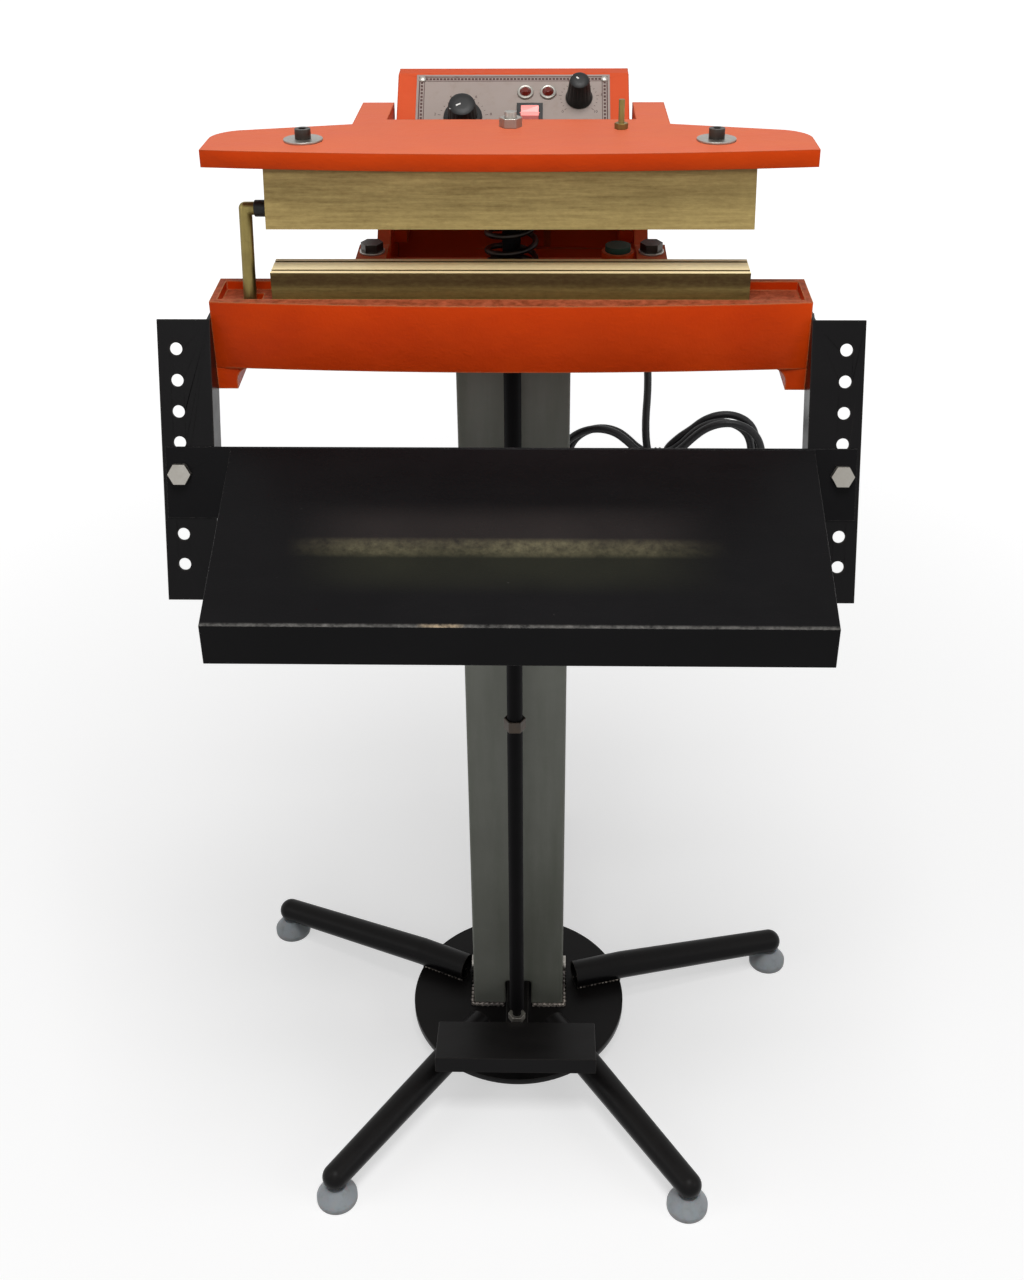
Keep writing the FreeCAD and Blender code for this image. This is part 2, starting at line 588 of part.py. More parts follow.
def bush(side):
    flange_at = web_inner - s.bush_flange
    barrel = lug_outer - web_inner
    barrel_at, rim_at = (web_inner, flange_at) if side > 0 else (-lug_outer, -web_inner)
    return cut(fuse(round_bar(bush_outer, barrel, barrel_at, 0, 0, "x"),
                    round_bar(s.bush_flange_radius, s.bush_flange, rim_at, 0, 0, "x")),
               round_bar(s.hinge_radius + s.fit, lug_outer * 2, -lug_outer, 0, 0, "x"))


node("arm_bushes", bush(-1), bush(1), carry=with_arm)

# Upper arm: a bowed plate with two lugs that come down to the hinge
arm_top = s.arm_under + s.arm_thick
arm_half = s.beam_half - s.arm_inset
lug_inner = s.cheek_inner - s.neck_gap
arm_radius = (arm_half * arm_half + s.arm_bow * s.arm_bow) / (s.arm_bow * 2)
tip_x = arm_half - s.tip_inset
arm_plate = slab("XY", s.arm_under, s.arm_thick, [
    (arm_half, s.arm_end_front, arm_radius), (arm_half, s.wing_tip),
    (tip_x, s.wing_shoulder, s.tip_round), (lug_outer, s.wing_root), (lug_outer, s.lug_rear),
    (lug_inner, s.lug_rear), (lug_inner, s.arm_back), (-lug_inner, s.arm_back),
    (-lug_inner, s.lug_rear), (-lug_outer, s.lug_rear), (-lug_outer, s.wing_root),
    (-tip_x, s.wing_shoulder), (-arm_half, s.wing_tip, s.tip_round),
    (-arm_half, s.arm_end_front)])


def lug(start, end):
    mid = s.arm_under + s.arm_thick / 2
    leaf = slab("YZ", start, end - start, [
        (-s.hinge_round, 0), (s.hinge_round, 0), (s.lug_rear, mid), (s.lug_web_front, mid)])
    return fuse(leaf, round_bar(s.hinge_round, end - start, start, 0, 0, "x"))


eye_y = (s.eye_y - s.hinge_y) * cosine(s.rest_tilt) - (s.eye_z - s.hinge_z) * sine(s.rest_tilt)
eye_z = (s.eye_y - s.hinge_y) * sine(s.rest_tilt) + (s.eye_z - s.hinge_z) * cosine(s.rest_tilt)
node("upper_arm", cut(
    fuse(arm_plate, *mirrored(web_inner, lug_outer, lug)),
    round_bar(bush_outer + s.fit, lug_outer * 2, -lug_outer, 0, 0, "x"),
    round_bar(s.eye_stud + s.fit, s.arm_thick, 0, eye_y, s.arm_under),
    round_bar(s.stop_screw + s.fit, s.arm_thick, stop_x, s.stop_y, s.arm_under),
    *both(jaw_screw_x, lambda x: round_bar(
        s.jaw_screw + s.fit, s.arm_thick, x, s.jaw_screw_y, s.arm_under))), carry=with_arm)

# Upper jaw: a bar with three wedge pads that fill the space under the sloping arm
closed_tilt = s.open_angle - s.rest_tilt
face_z = s.lower_jaw_top + s.jaw_gap - s.hinge_z
jaw_y = s.jaw_front - s.hinge_y
upper_back = jaw_y + s.upper_jaw_deep
jaw_roof = face_z + s.upper_jaw_tall


def under_arm(y):
    """Height of the arm's underside above the hinge, with the jaws closed."""
    return s.arm_under / cosine(closed_tilt) + y * tangent(closed_tilt)


def wedge(start, wide):
    return slab("YZ", start, wide, [
        (jaw_y, jaw_roof), (upper_back, jaw_roof), (upper_back, under_arm(upper_back)),
        (jaw_y, under_arm(jaw_y))])


screw_holes = both(jaw_screw_x, lambda x: round_bar(
    s.jaw_screw + s.fit, s.jaw_screw_long, x, s.jaw_screw_y, arm_top - s.jaw_screw_long))
pad_at = jaw_screw_x - s.pad_wide / 2
upper_heater_y = jaw_y + s.upper_jaw_deep / 2
upper_heater_z = face_z + s.heater_rise
node("upper_jaw", cut(
    fuse(block(jaw_half, jaw_y, upper_back, face_z, jaw_roof), wedge(pad_at, s.pad_wide),
         wedge(-pad_at - s.pad_wide, s.pad_wide), wedge(-s.middle_pad / 2, s.middle_pad)),
    put(group(*screw_holes), 0, 0, 0, closed_tilt),
    heater_hole(upper_heater_y, upper_heater_z)), carry=with_jaw)
node("upper_heater", heater(upper_heater_y, upper_heater_z), carry=with_jaw)

washer_face = arm_top + s.washer_thick


def jaw_screw(x):
    whole = bolt(s.jaw_head_radius * 2, s.jaw_head_tall, s.jaw_screw, s.jaw_screw_long, x,
                 s.jaw_screw_y, washer_face, hexed=False)
    socket_at = washer_face + s.jaw_head_tall - s.socket_deep
    return cut(whole, hexagon(s.jaw_socket, s.socket_deep, x, s.jaw_screw_y, socket_at))


node("jaw_screws", *both(jaw_screw_x, jaw_screw), carry=with_arm)
node("jaw_washers", *both(jaw_screw_x, lambda x: cut(
    round_bar(s.washer_radius, s.washer_thick, x, s.jaw_screw_y, arm_top),
    round_bar(s.jaw_screw + s.fit, s.washer_thick, x, s.jaw_screw_y, arm_top))), carry=with_arm)

stud_top = arm_top + s.nut_tall + s.eye_stud_spare
eye_ring = round_bar(s.eye_round, s.eye_half * 2, -s.eye_half, eye_y, eye_z, "x")
node("eye_bolt", cut(
    fuse(eye_ring, round_bar(s.eye_stud, stud_top - eye_z, 0, eye_y, eye_z),
         round_bar(s.eye_collar, s.eye_collar_tall, 0, eye_y, s.arm_under - s.eye_collar_tall)),
    round_bar(s.fork_pin + s.fit, s.eye_half * 2, -s.eye_half, eye_y, eye_z, "x")), carry=with_arm)
node("eye_nut", nut(s.bolt_flats, s.nut_tall, s.eye_stud + s.fit, 0, eye_y, arm_top), carry=with_arm)

stop_rest = (s.stop_pad_top + s.stop_gap - s.hinge_z - s.stop_y * sine(closed_tilt))
stop_tip = stop_rest / cosine(closed_tilt)
node("stop_screw", round_bar(s.stop_screw, arm_top + s.stop_spare - stop_tip, stop_x, s.stop_y,
                             stop_tip), carry=with_arm)
node("stop_nut", nut(s.stop_flats, s.stop_nut_tall, s.stop_screw + s.fit, stop_x, s.stop_y,
                     arm_top), carry=with_arm)

# Conduit: a brass tube that rides with the jaw, and its sleeve
pipe_y = s.conduit_y - s.hinge_y
pipe_low = s.conduit_bottom - s.hinge_z
sleeve_at = -jaw_half - s.sleeve_long


def elbow(radius):
    """An upright bar that turns towards the jaw, on the level of its heater."""
    return fuse(round_bar(radius, upper_heater_z - pipe_low, conduit_x, pipe_y, pipe_low),
                ball(radius, conduit_x, pipe_y, upper_heater_z),
                round_bar(radius, sleeve_at - conduit_x, conduit_x, pipe_y, upper_heater_z, "x"))


node("wire_conduit", cut(elbow(s.conduit_radius), elbow(s.conduit_bore)), carry=with_jaw)
node("conduit_sleeve", cut(
    round_bar(s.sleeve_radius, s.sleeve_long, sleeve_at, pipe_y, upper_heater_z, "x"),
    round_bar(s.conduit_bore, s.sleeve_long, sleeve_at, pipe_y, upper_heater_z, "x")),
    carry=with_jaw)


# Pedal: a lever on a pin through the column, and its plate
def with_pedal(piece):
    """Carry a piece that is measured from the pedal's pivot, with the lever level."""
    return put(piece, 0, s.pivot_y, s.pivot_z, -s.pedal_rise)


lever_top = s.lever_thick / 2
lever_bar = block(s.lever_half, -s.pedal_end, 0, -lever_top, lever_top)
hub = round_bar(s.hub_radius, s.hub_half * 2, -s.hub_half, 0, 0, "x")
rod_slot = round_bar(s.stud_radius + s.rod_slack, s.lever_thick, 0, -s.pull_arm, -lever_top)
node("pedal_lever", cut(fuse(lever_bar, hub), rod_slot, round_bar(
    s.pin_radius + s.fit, s.hub_half * 2, -s.hub_half, 0, 0, "x")), carry=with_pedal)
plate_top = lever_top + s.pedal_thick
node("pedal_plate", fuse(
    block(s.pedal_half, -s.pedal_end, -s.pedal_start, lever_top, plate_top),
    block(s.pedal_half, -s.pedal_end - s.pedal_thick, -s.pedal_end, plate_top - s.pedal_lip,
          plate_top)), carry=with_pedal)
node("pedal_pin", fuse(
    round_bar(s.pin_radius, s.column_half * 2, -s.column_half, s.pivot_y, s.pivot_z, "x"),
    round_bar(s.pin_head, s.pin_head_thick, s.column_half, s.pivot_y, s.pivot_z, "x"),
    round_bar(s.pin_head, s.pin_head_thick, -s.column_half - s.pin_head_thick, s.pivot_y,
              s.pivot_z, "x")))

# Pull rod: from the fork under the arm to the nuts above and below the pedal's lever
foot_y = s.pivot_y - s.pull_arm * cosine(s.pedal_rise)
foot_z = s.pivot_z + s.pull_arm * sine(s.pedal_rise)
rod_lean = arctangent((s.eye_y - foot_y) / (s.eye_z - foot_z))
rod_reach = (s.eye_z - foot_z) / cosine(rod_lean)


def with_rod(piece):
    """Carry a piece that is measured down from the eye, along the rod."""
    return put(piece, 0, s.eye_y, s.eye_z, -rod_lean)


ear_in = s.eye_half + s.fork_gap
ear_out = ear_in + s.fork_ear
fork_low = -s.fork_drop - s.fork_base


def fork_ear(start, end):
    return fuse(box(start, end, -s.fork_round, s.fork_round, -s.fork_drop, 0),
                round_bar(s.fork_round, end - start, start, 0, 0, "x"))


node("rod_fork", cut(
    fuse(*mirrored(ear_in, ear_out, fork_ear),
         block(ear_out, -s.fork_round, s.fork_round, fork_low, -s.fork_drop)),
    round_bar(s.fork_pin + s.fit, ear_out * 2, -ear_out, 0, 0, "x")), carry=with_rod)
node("fork_pin", fuse(
    round_bar(s.fork_pin, ear_out * 2, -ear_out, 0, 0, "x"),
    round_bar(s.fork_pin_head, s.cup_thick / 2, ear_out, 0, 0, "x"),
    round_bar(s.fork_pin_head, s.cup_thick / 2, -ear_out - s.cup_thick / 2, 0, 0, "x")),
    carry=with_rod)
cup_low = fork_low - s.cup_thick
node("spring_cup", cut(round_bar(s.cup_radius, s.cup_thick, 0, 0, cup_low),
                       round_bar(s.rod_radius + s.fit, s.cup_thick, 0, 0, cup_low)), carry=with_rod)
node("pull_rod_upper", round_bar(s.rod_radius, s.rod_joint + fork_low, 0, 0, -s.rod_joint),
     carry=with_rod)
joint_low = -s.rod_joint - s.joint_tall / 2
node("rod_coupling", nut(s.joint_flats, s.joint_tall, s.rod_radius + s.fit, 0, 0, joint_low),
     carry=with_rod)
rod_end = s.stud_above - rod_reach
node("pull_rod_lower", fuse(
    round_bar(s.rod_radius, -s.rod_joint - rod_end, 0, 0, rod_end),
    round_bar(s.stud_radius, s.stud_above + s.stud_below, 0, 0, -rod_reach - s.stud_below)),
    carry=with_rod)
dome_at = -rod_reach - s.dome_drop
dome = cut(ball(s.dome_radius, 0, 0, dome_at),
           block(s.dome_radius, -s.dome_radius, s.dome_radius, dome_at - s.dome_radius, dome_at))
node("rod_nuts",
     nut(s.bolt_flats, s.nut_tall, s.stud_radius + s.fit, 0, 0, s.nut_gap - rod_reach),
     cut(fuse(dome, hexagon(s.bolt_flats, s.nut_tall, 0, 0, dome_at - s.nut_tall)),
         round_bar(s.stud_radius + s.fit, s.nut_tall + s.dome_radius, 0, 0, dome_at - s.nut_tall)),
     carry=with_rod)

# Brackets and tray, square to the flanges that lean forward
flange_back = s.sheet_thick
flange_half = s.beam_half + s.flange_wide
hole_x = flange_half - s.hole_inset
HOLES = [s.hole_start + s.hole_pitch * number for number in range(8)]


def with_flange(piece):
    """Carry a piece that is measured from the top edge of the flanges."""
    return put(piece, 0, s.flange_y, s.flange_z, -s.tray_lean)


def bracket(name, side):
    """A drilled flange with a side plate that bolts to the end of the beam."""
    inner, outer = s.beam_half, s.beam_half + s.sheet_thick
    x0, x1 = (inner, flange_half) if side > 0 else (-flange_half, -inner)
    p0, p1 = (inner, outer) if side > 0 else (-outer, -inner)
    holes_x = hole_x if side > 0 else -hole_x
    flange = cut(
        fuse(box(x0, x1, 0, flange_back, -s.flange_long, 0),
             box(p0, p1, 0, s.side_deep, -s.flange_long, -s.side_deep)),
        *[round_bar(s.hole_radius, flange_back, holes_x, 0, -down, "y") for down in HOLES])
    foot = s.flange_z - s.side_tall
    low_y = s.flange_y - s.side_tall * tangent(s.tray_lean)
    side_plate = slab("YZ", p0, s.sheet_thick, [
        (s.flange_y, s.flange_z), (low_y, foot), (s.flange_y + s.side_top, foot),
        (s.flange_y + s.side_top, s.flange_z)])
    bores = [round_bar(s.bracket_bolt + s.fit, s.sheet_thick, p0, s.bracket_bolt_y, z, "x")
             for z in BRACKET_BOLTS]
    node(name, cut(fuse(with_flange(group(flange)), side_plate), *bores))


bracket("bracket_left", -1)
bracket("bracket_right", 1)


def bracket_bolt(side, z):
    face = s.beam_half + s.sheet_thick
    head_at, shank_at = (face, face - s.bracket_bolt_long) if side > 0 else (
        -face - s.bracket_bolt_head, -face)
    return fuse(
        hexagon(s.bracket_bolt_flats, s.bracket_bolt_head, head_at, s.bracket_bolt_y, z, "x"),
        round_bar(s.bracket_bolt, s.bracket_bolt_long, shank_at, s.bracket_bolt_y, z, "x"))


node("bracket_bolts", *[bracket_bolt(side, z) for side in (-1, 1) for z in BRACKET_BOLTS])

tray_tilt = s.tray_lean * 2
edge_y = -s.tray_deep * cosine(tray_tilt)
edge_z = -s.tray_drop - s.tray_deep * sine(tray_tilt)
TRAY_HOLE = HOLES[4]
deck = put(group(block(s.tray_half, -s.tray_deep, -s.tray_sheet, -s.tray_sheet, 0)), s.tray_shift, 0,
           -s.tray_drop, tray_tilt)
lip = put(group(block(s.tray_half, 0, s.tray_sheet, -s.tray_lip, 0)), s.tray_shift, edge_y, edge_z,
          s.tray_lean)
apron = block(flange_half - s.ear_inset, -s.tray_sheet, 0, -s.tray_drop - s.tray_back_lip, -s.tray_drop)
node("tray", cut(fuse(deck, lip, apron), *both(hole_x, lambda x: round_bar(
    s.hole_radius, s.tray_sheet, x, -s.tray_sheet, -TRAY_HOLE, "y"))), carry=with_flange)
node("tray_bolts", *both(hole_x, lambda x: fuse(
    hexagon(s.bolt_flats, s.bolt_head, x, -s.tray_sheet - s.bolt_head, -TRAY_HOLE, "y"),
    round_bar(s.tray_bolt, s.tray_bolt_long, x, -s.tray_sheet, -TRAY_HOLE, "y"))),
    carry=with_flange)
node("tray_nuts", *both(hole_x, lambda x: cut(
    hexagon(s.bolt_flats, s.nut_tall, x, flange_back, -TRAY_HOLE, "y"),
    round_bar(s.tray_bolt + s.fit, s.nut_tall, x, flange_back, -TRAY_HOLE, "y"))),
    carry=with_flange)


# Control box: a folded box with a sloping panel, its cover and its controls
box_half = s.cheek_inner - s.box_gap
panel_half = box_half - s.panel_inset
panel_foot = s.box_bottom + s.box_face
box_top = panel_foot + s.panel_rise


def with_panel(piece):
    """Carry a piece that is measured up the sloping face of the box."""
    return put(piece, 0, s.box_front, panel_foot, s.panel_tilt)


slope_top = s.box_front + (box_top - panel_foot) / tangent(s.panel_tilt)
sheet_drop = s.box_sheet / cosine(s.panel_tilt)
inner_front = s.box_front + s.box_sheet
inner_foot = panel_foot + s.box_sheet * tangent(s.panel_tilt) - sheet_drop
inner_top = box_top - s.box_sheet
inner_slope = s.box_front + (inner_top - panel_foot + sheet_drop) / tangent(s.panel_tilt)
inner_half = box_half - s.box_sheet
shell = slab("YZ", -box_half, box_half * 2, [
    (s.box_front, s.box_bottom), (s.box_rear, s.box_bottom), (s.box_rear, box_top),
    (slope_top, box_top), (s.box_front, panel_foot)])
room = slab("YZ", -inner_half, inner_half * 2, [
    (inner_front, s.box_bottom + s.box_sheet), (s.box_rear, s.box_bottom + s.box_sheet),
    (s.box_rear, inner_top), (inner_slope, inner_top), (inner_front, inner_foot)])
KNOBS = ((s.dial_x, s.dial_s), (s.tall_x, s.tall_s))
LAMPS = [(s.lamp_x - s.lamp_gap / 2, s.lamp_s), (s.lamp_x + s.lamp_gap / 2, s.lamp_s)]
housing_x, housing_s = s.well_x + s.well_wall, s.well_s + s.well_wall


def panel_holes():
    """Everything that is cut through the sloping face and its panel."""
    through = s.box_sheet + s.panel_thick
    return [
        *[round_bar(s.bush_radius + s.fit, through, x, up, -s.box_sheet) for x, up in KNOBS],
        *[round_bar(s.lamp_body + s.fit, through, x, up, -s.box_sheet) for x, up in LAMPS],
        box(s.rocker_x - housing_x - s.fit, s.rocker_x + housing_x + s.fit,
            s.rocker_s - housing_s - s.fit, s.rocker_s + housing_s + s.fit, -s.box_sheet,
            s.panel_thick)]


node("control_box", cut(shell, room, with_panel(group(*panel_holes()))))
node("control_panel", cut(block(panel_half, s.panel_start, s.panel_end, 0, s.panel_thick),
                          *panel_holes()), carry=with_panel)
cover_back = s.box_rear + s.box_sheet
cord_z = s.box_bottom + s.cord_rise
node("box_cover", cut(
    block(box_half, s.box_rear, cover_back, s.box_bottom, box_top),
    round_bar(s.gland_radius + s.fit, s.box_sheet, s.cord_x, s.box_rear, cord_z, "y")))


def device(x, up):
    """A regulator under the panel: its case, its bush and its shaft."""
    case = box(x - s.device_half, x + s.device_half, up - s.device_half, up + s.device_half,
               -s.box_sheet - s.device_deep, -s.box_sheet)
    return fuse(case, round_bar(s.bush_radius, s.box_sheet + s.panel_thick, x, up, -s.box_sheet),
                round_bar(s.shaft_radius, s.shaft_long, x, up, s.panel_thick))


node("regulators", *[device(x, up) for x, up in KNOBS], carry=with_panel)
knob_at = s.panel_thick + s.knob_gap


def knob_bore(x, up):
    return round_bar(s.shaft_radius + s.fit, s.shaft_long, x, up, knob_at - s.knob_gap)


node("timer_knob", cut(
    fuse(cone(s.dial_skirt, s.dial_body, s.dial_skirt_tall, s.dial_x, s.dial_s, knob_at),
         cone(s.dial_body, s.dial_tip, s.dial_tall, s.dial_x, s.dial_s, knob_at)),
    knob_bore(*KNOBS[0])), carry=with_panel)
node("temperature_knob", cut(
    cone(s.tall_base, s.tall_tip, s.tall_tall, s.tall_x, s.tall_s, knob_at),
    knob_bore(*KNOBS[1])), carry=with_panel)


def lamp(x, up):
    """A pilot lamp: its body through the panel, its rim and its lens."""
    rim_top = s.panel_thick + s.lamp_bezel_tall
    return fuse(round_bar(s.lamp_body, s.lamp_deep + rim_top, x, up, -s.lamp_deep),
                round_bar(s.lamp_bezel, s.lamp_bezel_tall, x, up, s.panel_thick),
                cone(s.lamp_body, s.lamp_body / 2, s.lamp_dome, x, up, rim_top))


node("pilot_lamps", *[lamp(x, up) for x, up in LAMPS], carry=with_panel)


def with_rocker(piece):
    """Carry a piece that is measured from the rocker's axis, with the rocker level."""
    return put(piece, s.rocker_x, s.rocker_s, s.panel_thick + s.rocker_axis, -s.rocker_swing)


rim_low = -s.rocker_axis
well = cut(
    fuse(block(s.bezel_x, -s.bezel_s, s.bezel_s, rim_low, rim_low + s.bezel_tall),
         block(housing_x, -housing_s, housing_s, rim_low - s.well_deep, rim_low)),
    block(s.well_x, -s.well_s, s.well_s, rim_low - s.well_deep + s.well_wall, rim_low + s.bezel_tall),
    round_bar(s.rocker_pin + s.fit, s.rocker_pin_half * 2, -s.rocker_pin_half, 0, 0, "x"))
well_place = put(group(well), s.rocker_x, s.rocker_s, s.panel_thick + s.rocker_axis)
node("rocker_housing", well_place, carry=with_panel)
rocker_top = slab("YZ", -s.rocker_half, s.rocker_half * 2, [
    (-s.rocker_span, -s.rocker_under), (s.rocker_span, -s.rocker_under),
    (s.rocker_span, s.rocker_edge), (0, s.rocker_dip), (-s.rocker_span, s.rocker_edge)])
node("rocker_switch", with_rocker(group(fuse(rocker_top, round_bar(
    s.rocker_pin, s.rocker_pin_half * 2, -s.rocker_pin_half, 0, 0, "x")))), carry=with_panel)

# Mains cord: gland, the run down behind the head, the tied hank and its plug
gland_end = cover_back + s.gland_long
node("cable_gland", fuse(
    round_bar(s.gland_radius, s.gland_inside + s.box_sheet, s.cord_x, s.box_rear - s.gland_inside,
              cord_z, "y"),
    hexagon(s.gland_flats, s.gland_hex, s.cord_x, cover_back, cord_z, "y"),
    cone(s.gland_radius, s.cord_radius + 1, s.gland_long, s.cord_x, cover_back, cord_z, "y")))

hank_front = s.hank_y - s.hank_thick / 2
hank_low = s.tie_z - s.hank_waist


def loops(radius):
    """The two bunched ends of the hank, as upright disks."""
    return [round_bar(radius, s.hank_thick, x, hank_front, s.tie_z, "y")
            for x in (s.hank_left + s.hank_round, s.hank_right - s.hank_round)]


node("cord_hank", cut(
    fuse(*loops(s.hank_round),
         box(s.hank_left + s.hank_round, s.hank_right - s.hank_round, hank_front,
             hank_front + s.hank_thick, hank_low, s.tie_z + s.hank_waist),
         round_bar(s.cord_radius, s.tail_long, s.plug_x, s.hank_y, hank_low - s.tail_long)),
    *loops(s.hank_hole)))

plug_low = hank_low - s.tail_long - s.plug_long
plug_pins = [round_bar(s.plug_pin, s.plug_pin_long, s.plug_x + s.plug_pin_ring * side, s.hank_y,
                       plug_low - s.plug_pin_long) for side in (-1, 1)]
node("plug", fuse(
    cone(s.plug_radius, s.plug_grip, s.plug_long, s.plug_x, s.hank_y, plug_low), *plug_pins))
doc.recompute()


def bent(points):
    """A wire of straight runs joined by tangent arcs."""
    ends, arcs = [points[0]], []
    for before, corner, after in zip(points, points[1:], points[2:]):
        come, go = (corner - before).normalize(), (after - corner).normalize()
        half = come.getAngle(go) / 2
        trim = 0.45 * min((corner - before).Length, (after - corner).Length)
        radius = trim / math.tan(half)
        middle = corner + (go - come).normalize() * (radius / math.cos(half) - radius)
        arcs.append((corner - come * trim, middle, corner + go * trim))
        print("cord turn %.0f degrees, radius %.0f mm" % (math.degrees(2 * half), radius))
    edges = []
    for first, middle, last in arcs:
        edges.append(Part.LineSegment(ends[-1], first).toShape())
        edges.append(Part.Arc(first, middle, last).toShape())
        ends.append(last)
    edges.append(Part.LineSegment(ends[-1], points[-1]).toShape())
    return Part.Wire(edges)


def swept(name, path, start, direction, radius):
    """A round section carried along a path, as a finished piece."""
    ring = Part.Wire(Part.makeCircle(radius, start, direction))
    piece = doc.addObject("Part::Feature", name)
    piece.Shape = path.makePipeShell([ring], True, False)
    nodes.append(piece)


# The points of the cord, from the gland to the top of the hank
CORD = [Vector(*[length.value for length in spot]) for spot in (
    (s.cord_x, gland_end, cord_z), (s.cord_x, s.cord_fall_y, cord_z),
    (s.cord_bow_x, s.cord_bow_y, s.cord_bow_z), (s.cord_swing_x, s.cord_swing_y, s.cord_swing_z),
    (s.tie_x, s.hank_y, s.tie_z))]
swept("power_cord", bent(CORD), CORD[0], CORD[1] - CORD[0], s.cord_radius.value)

# The return spring, around the rod between the bridge and the cup
wire_radius = sheet.get("spring_wire")
coil_low = s.bridge_bottom.value + s.bridge_thick.value + s.spring_rest.value + wire_radius
coil_tall = s.spring_top.value - wire_radius - coil_low
coil = Part.makeHelix(coil_tall / s.spring_turns.value, coil_tall, s.spring_radius.value)
coil.translate(Vector(0, s.spring_y.value, coil_low))
first = coil.Edges[0].valueAt(coil.Edges[0].FirstParameter)
heading = coil.Edges[0].tangentAt(coil.Edges[0].FirstParameter)
swept("return_spring", Part.Wire(coil.Edges), first, heading, wire_radius)

doc.recompute()
for piece in doc.Objects:
    if "Invalid" in piece.State or "Error" in piece.State:
        inside = [parent.Label for parent in piece.InListRecursive]
        raise RuntimeError("%s in %s: %s" % (piece.Label, inside, piece.getStatusString()))

os.makedirs("parts", exist_ok=True)
whole = Part.makeCompound([piece.Shape for piece in nodes]).BoundBox
centre = Vector(-whole.Center.x, -whole.Center.y, -whole.ZMin)
print("whole", whole, "moved by", centre)
for piece in nodes:
    shape = piece.Shape.copy()
    if shape.isNull() or not shape.isValid() or not shape.Solids:
        raise RuntimeError("%s is not a sound solid" % piece.Label)
    shape = Part.makeCompound(shape.Solids) if len(shape.Solids) > 1 else shape.Solids[0]
    shape.translate(centre)
    shape.exportStep("parts/%s.step" % piece.Label)
print("%d nodes" % len(nodes))
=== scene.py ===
"""Looks of a foot pedal sealer: enamelled castings, brass jaws, a work tray and a tied mains lead."""

import logging
import math
from collections.abc import Callable
from dataclasses import dataclass
from enum import Enum
from typing import ClassVar

import bmesh
import bpy
from mathutils import Matrix, Vector


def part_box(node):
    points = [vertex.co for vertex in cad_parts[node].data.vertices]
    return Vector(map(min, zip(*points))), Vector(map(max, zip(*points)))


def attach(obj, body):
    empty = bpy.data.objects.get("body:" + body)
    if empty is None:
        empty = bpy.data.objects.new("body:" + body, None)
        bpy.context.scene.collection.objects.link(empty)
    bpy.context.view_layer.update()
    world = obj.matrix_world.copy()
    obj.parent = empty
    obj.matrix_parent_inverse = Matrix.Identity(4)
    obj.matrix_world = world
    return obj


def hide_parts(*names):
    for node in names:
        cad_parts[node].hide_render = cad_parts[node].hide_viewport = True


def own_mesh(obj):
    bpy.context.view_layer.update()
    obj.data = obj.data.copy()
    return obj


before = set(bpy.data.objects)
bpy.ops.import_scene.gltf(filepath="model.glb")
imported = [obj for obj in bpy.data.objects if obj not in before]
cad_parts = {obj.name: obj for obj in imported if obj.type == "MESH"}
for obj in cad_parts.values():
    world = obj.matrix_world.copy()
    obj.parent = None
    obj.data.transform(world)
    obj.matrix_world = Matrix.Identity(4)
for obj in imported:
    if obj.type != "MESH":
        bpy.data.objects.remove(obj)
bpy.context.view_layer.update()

LOG = logging.getLogger("sealer")
MM = 0.001
SHARP_ANGLE = math.radians(35.0)
ROUNDED_ANGLE = math.radians(32.0)
Pair = tuple[float, float]
Triple = tuple[float, float, float]
Colour = Triple
Outline = tuple[Pair, ...] | list[Pair]
EVEN: Triple = (1.0, 1.0, 1.0)
WHITE: Colour = (1.0, 1.0, 1.0)


def in_frame(x: float, y: float, z: float) -> Vector:
    """Move a point of the part's source, in millimetres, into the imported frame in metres.

    Args:
        x: Distance to the right of the middle of the base disk.
        y: Distance behind the middle of the base disk.
        z: Height above the floor.

    Returns:
        The point in the frame's metres.
    """
    low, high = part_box("base_disk")
    middle = (low + high) / 2
    return Vector((middle.x + x * MM, middle.y + y * MM, z * MM))


class Signal:
    """A shader value or vector, with arithmetic that adds the nodes it needs."""

    def __init__(self, sheet: "NodeSheet", socket: bpy.types.NodeSocket) -> None:
        """Wrap one output socket of a sheet."""
        self.sheet = sheet
        self.socket = socket

    def _math(self, operation: str, first: "Term", second: "Term") -> "Signal":
        """Add one Math node and return its result."""
        made = self.sheet.node("ShaderNodeMath", {"operation": operation}, {0: first, 1: second})
        return Signal(self.sheet, made.outputs[0])

    def __add__(self, other: "Term") -> "Signal":
        """Return the sum."""
        return self._math("ADD", self, other)

    def __radd__(self, other: float) -> "Signal":
        """Return the sum with a number on the left."""
        return self._math("ADD", other, self)

    def __sub__(self, other: "Term") -> "Signal":
        """Return the difference."""
        return self._math("SUBTRACT", self, other)

    def __rsub__(self, other: float) -> "Signal":
        """Return a number less this signal."""
        return self._math("SUBTRACT", other, self)

    def __mul__(self, other: "Term") -> "Signal":
        """Return the product."""
        return self._math("MULTIPLY", self, other)

    def most(self, other: "Term") -> "Signal":
        """Return the larger of the two."""
        return self._math("MAXIMUM", self, other)

    def above(self, level: float, softness: float) -> "Signal":
        """Return 1 where the signal is above a level and 0 below, with a soft step between.

        Args:
            level: The value in the middle of the step.
            softness: Half the width of the step.

        Returns:
            The mask.
        """
        made = self.sheet.node(
            "ShaderNodeMapRange", {"interpolation_type": "SMOOTHSTEP", "clamp": True},
            {"Value": self, "From Min": level - softness, "From Max": level + softness})
        return Signal(self.sheet, made.outputs["Result"])

    def within(self, reach: float, softness: float = 1.0) -> "Signal":
        """Return 1 where the signal is near zero and 0 beyond a reach on either side.

        Args:
            reach: The distance from zero in the middle of the step.
            softness: Half the width of the step, as a share of the square of the reach.

        Returns:
            The mask.
        """
        return 1.0 - (self * self).above(reach ** 2, reach ** 2 * softness)


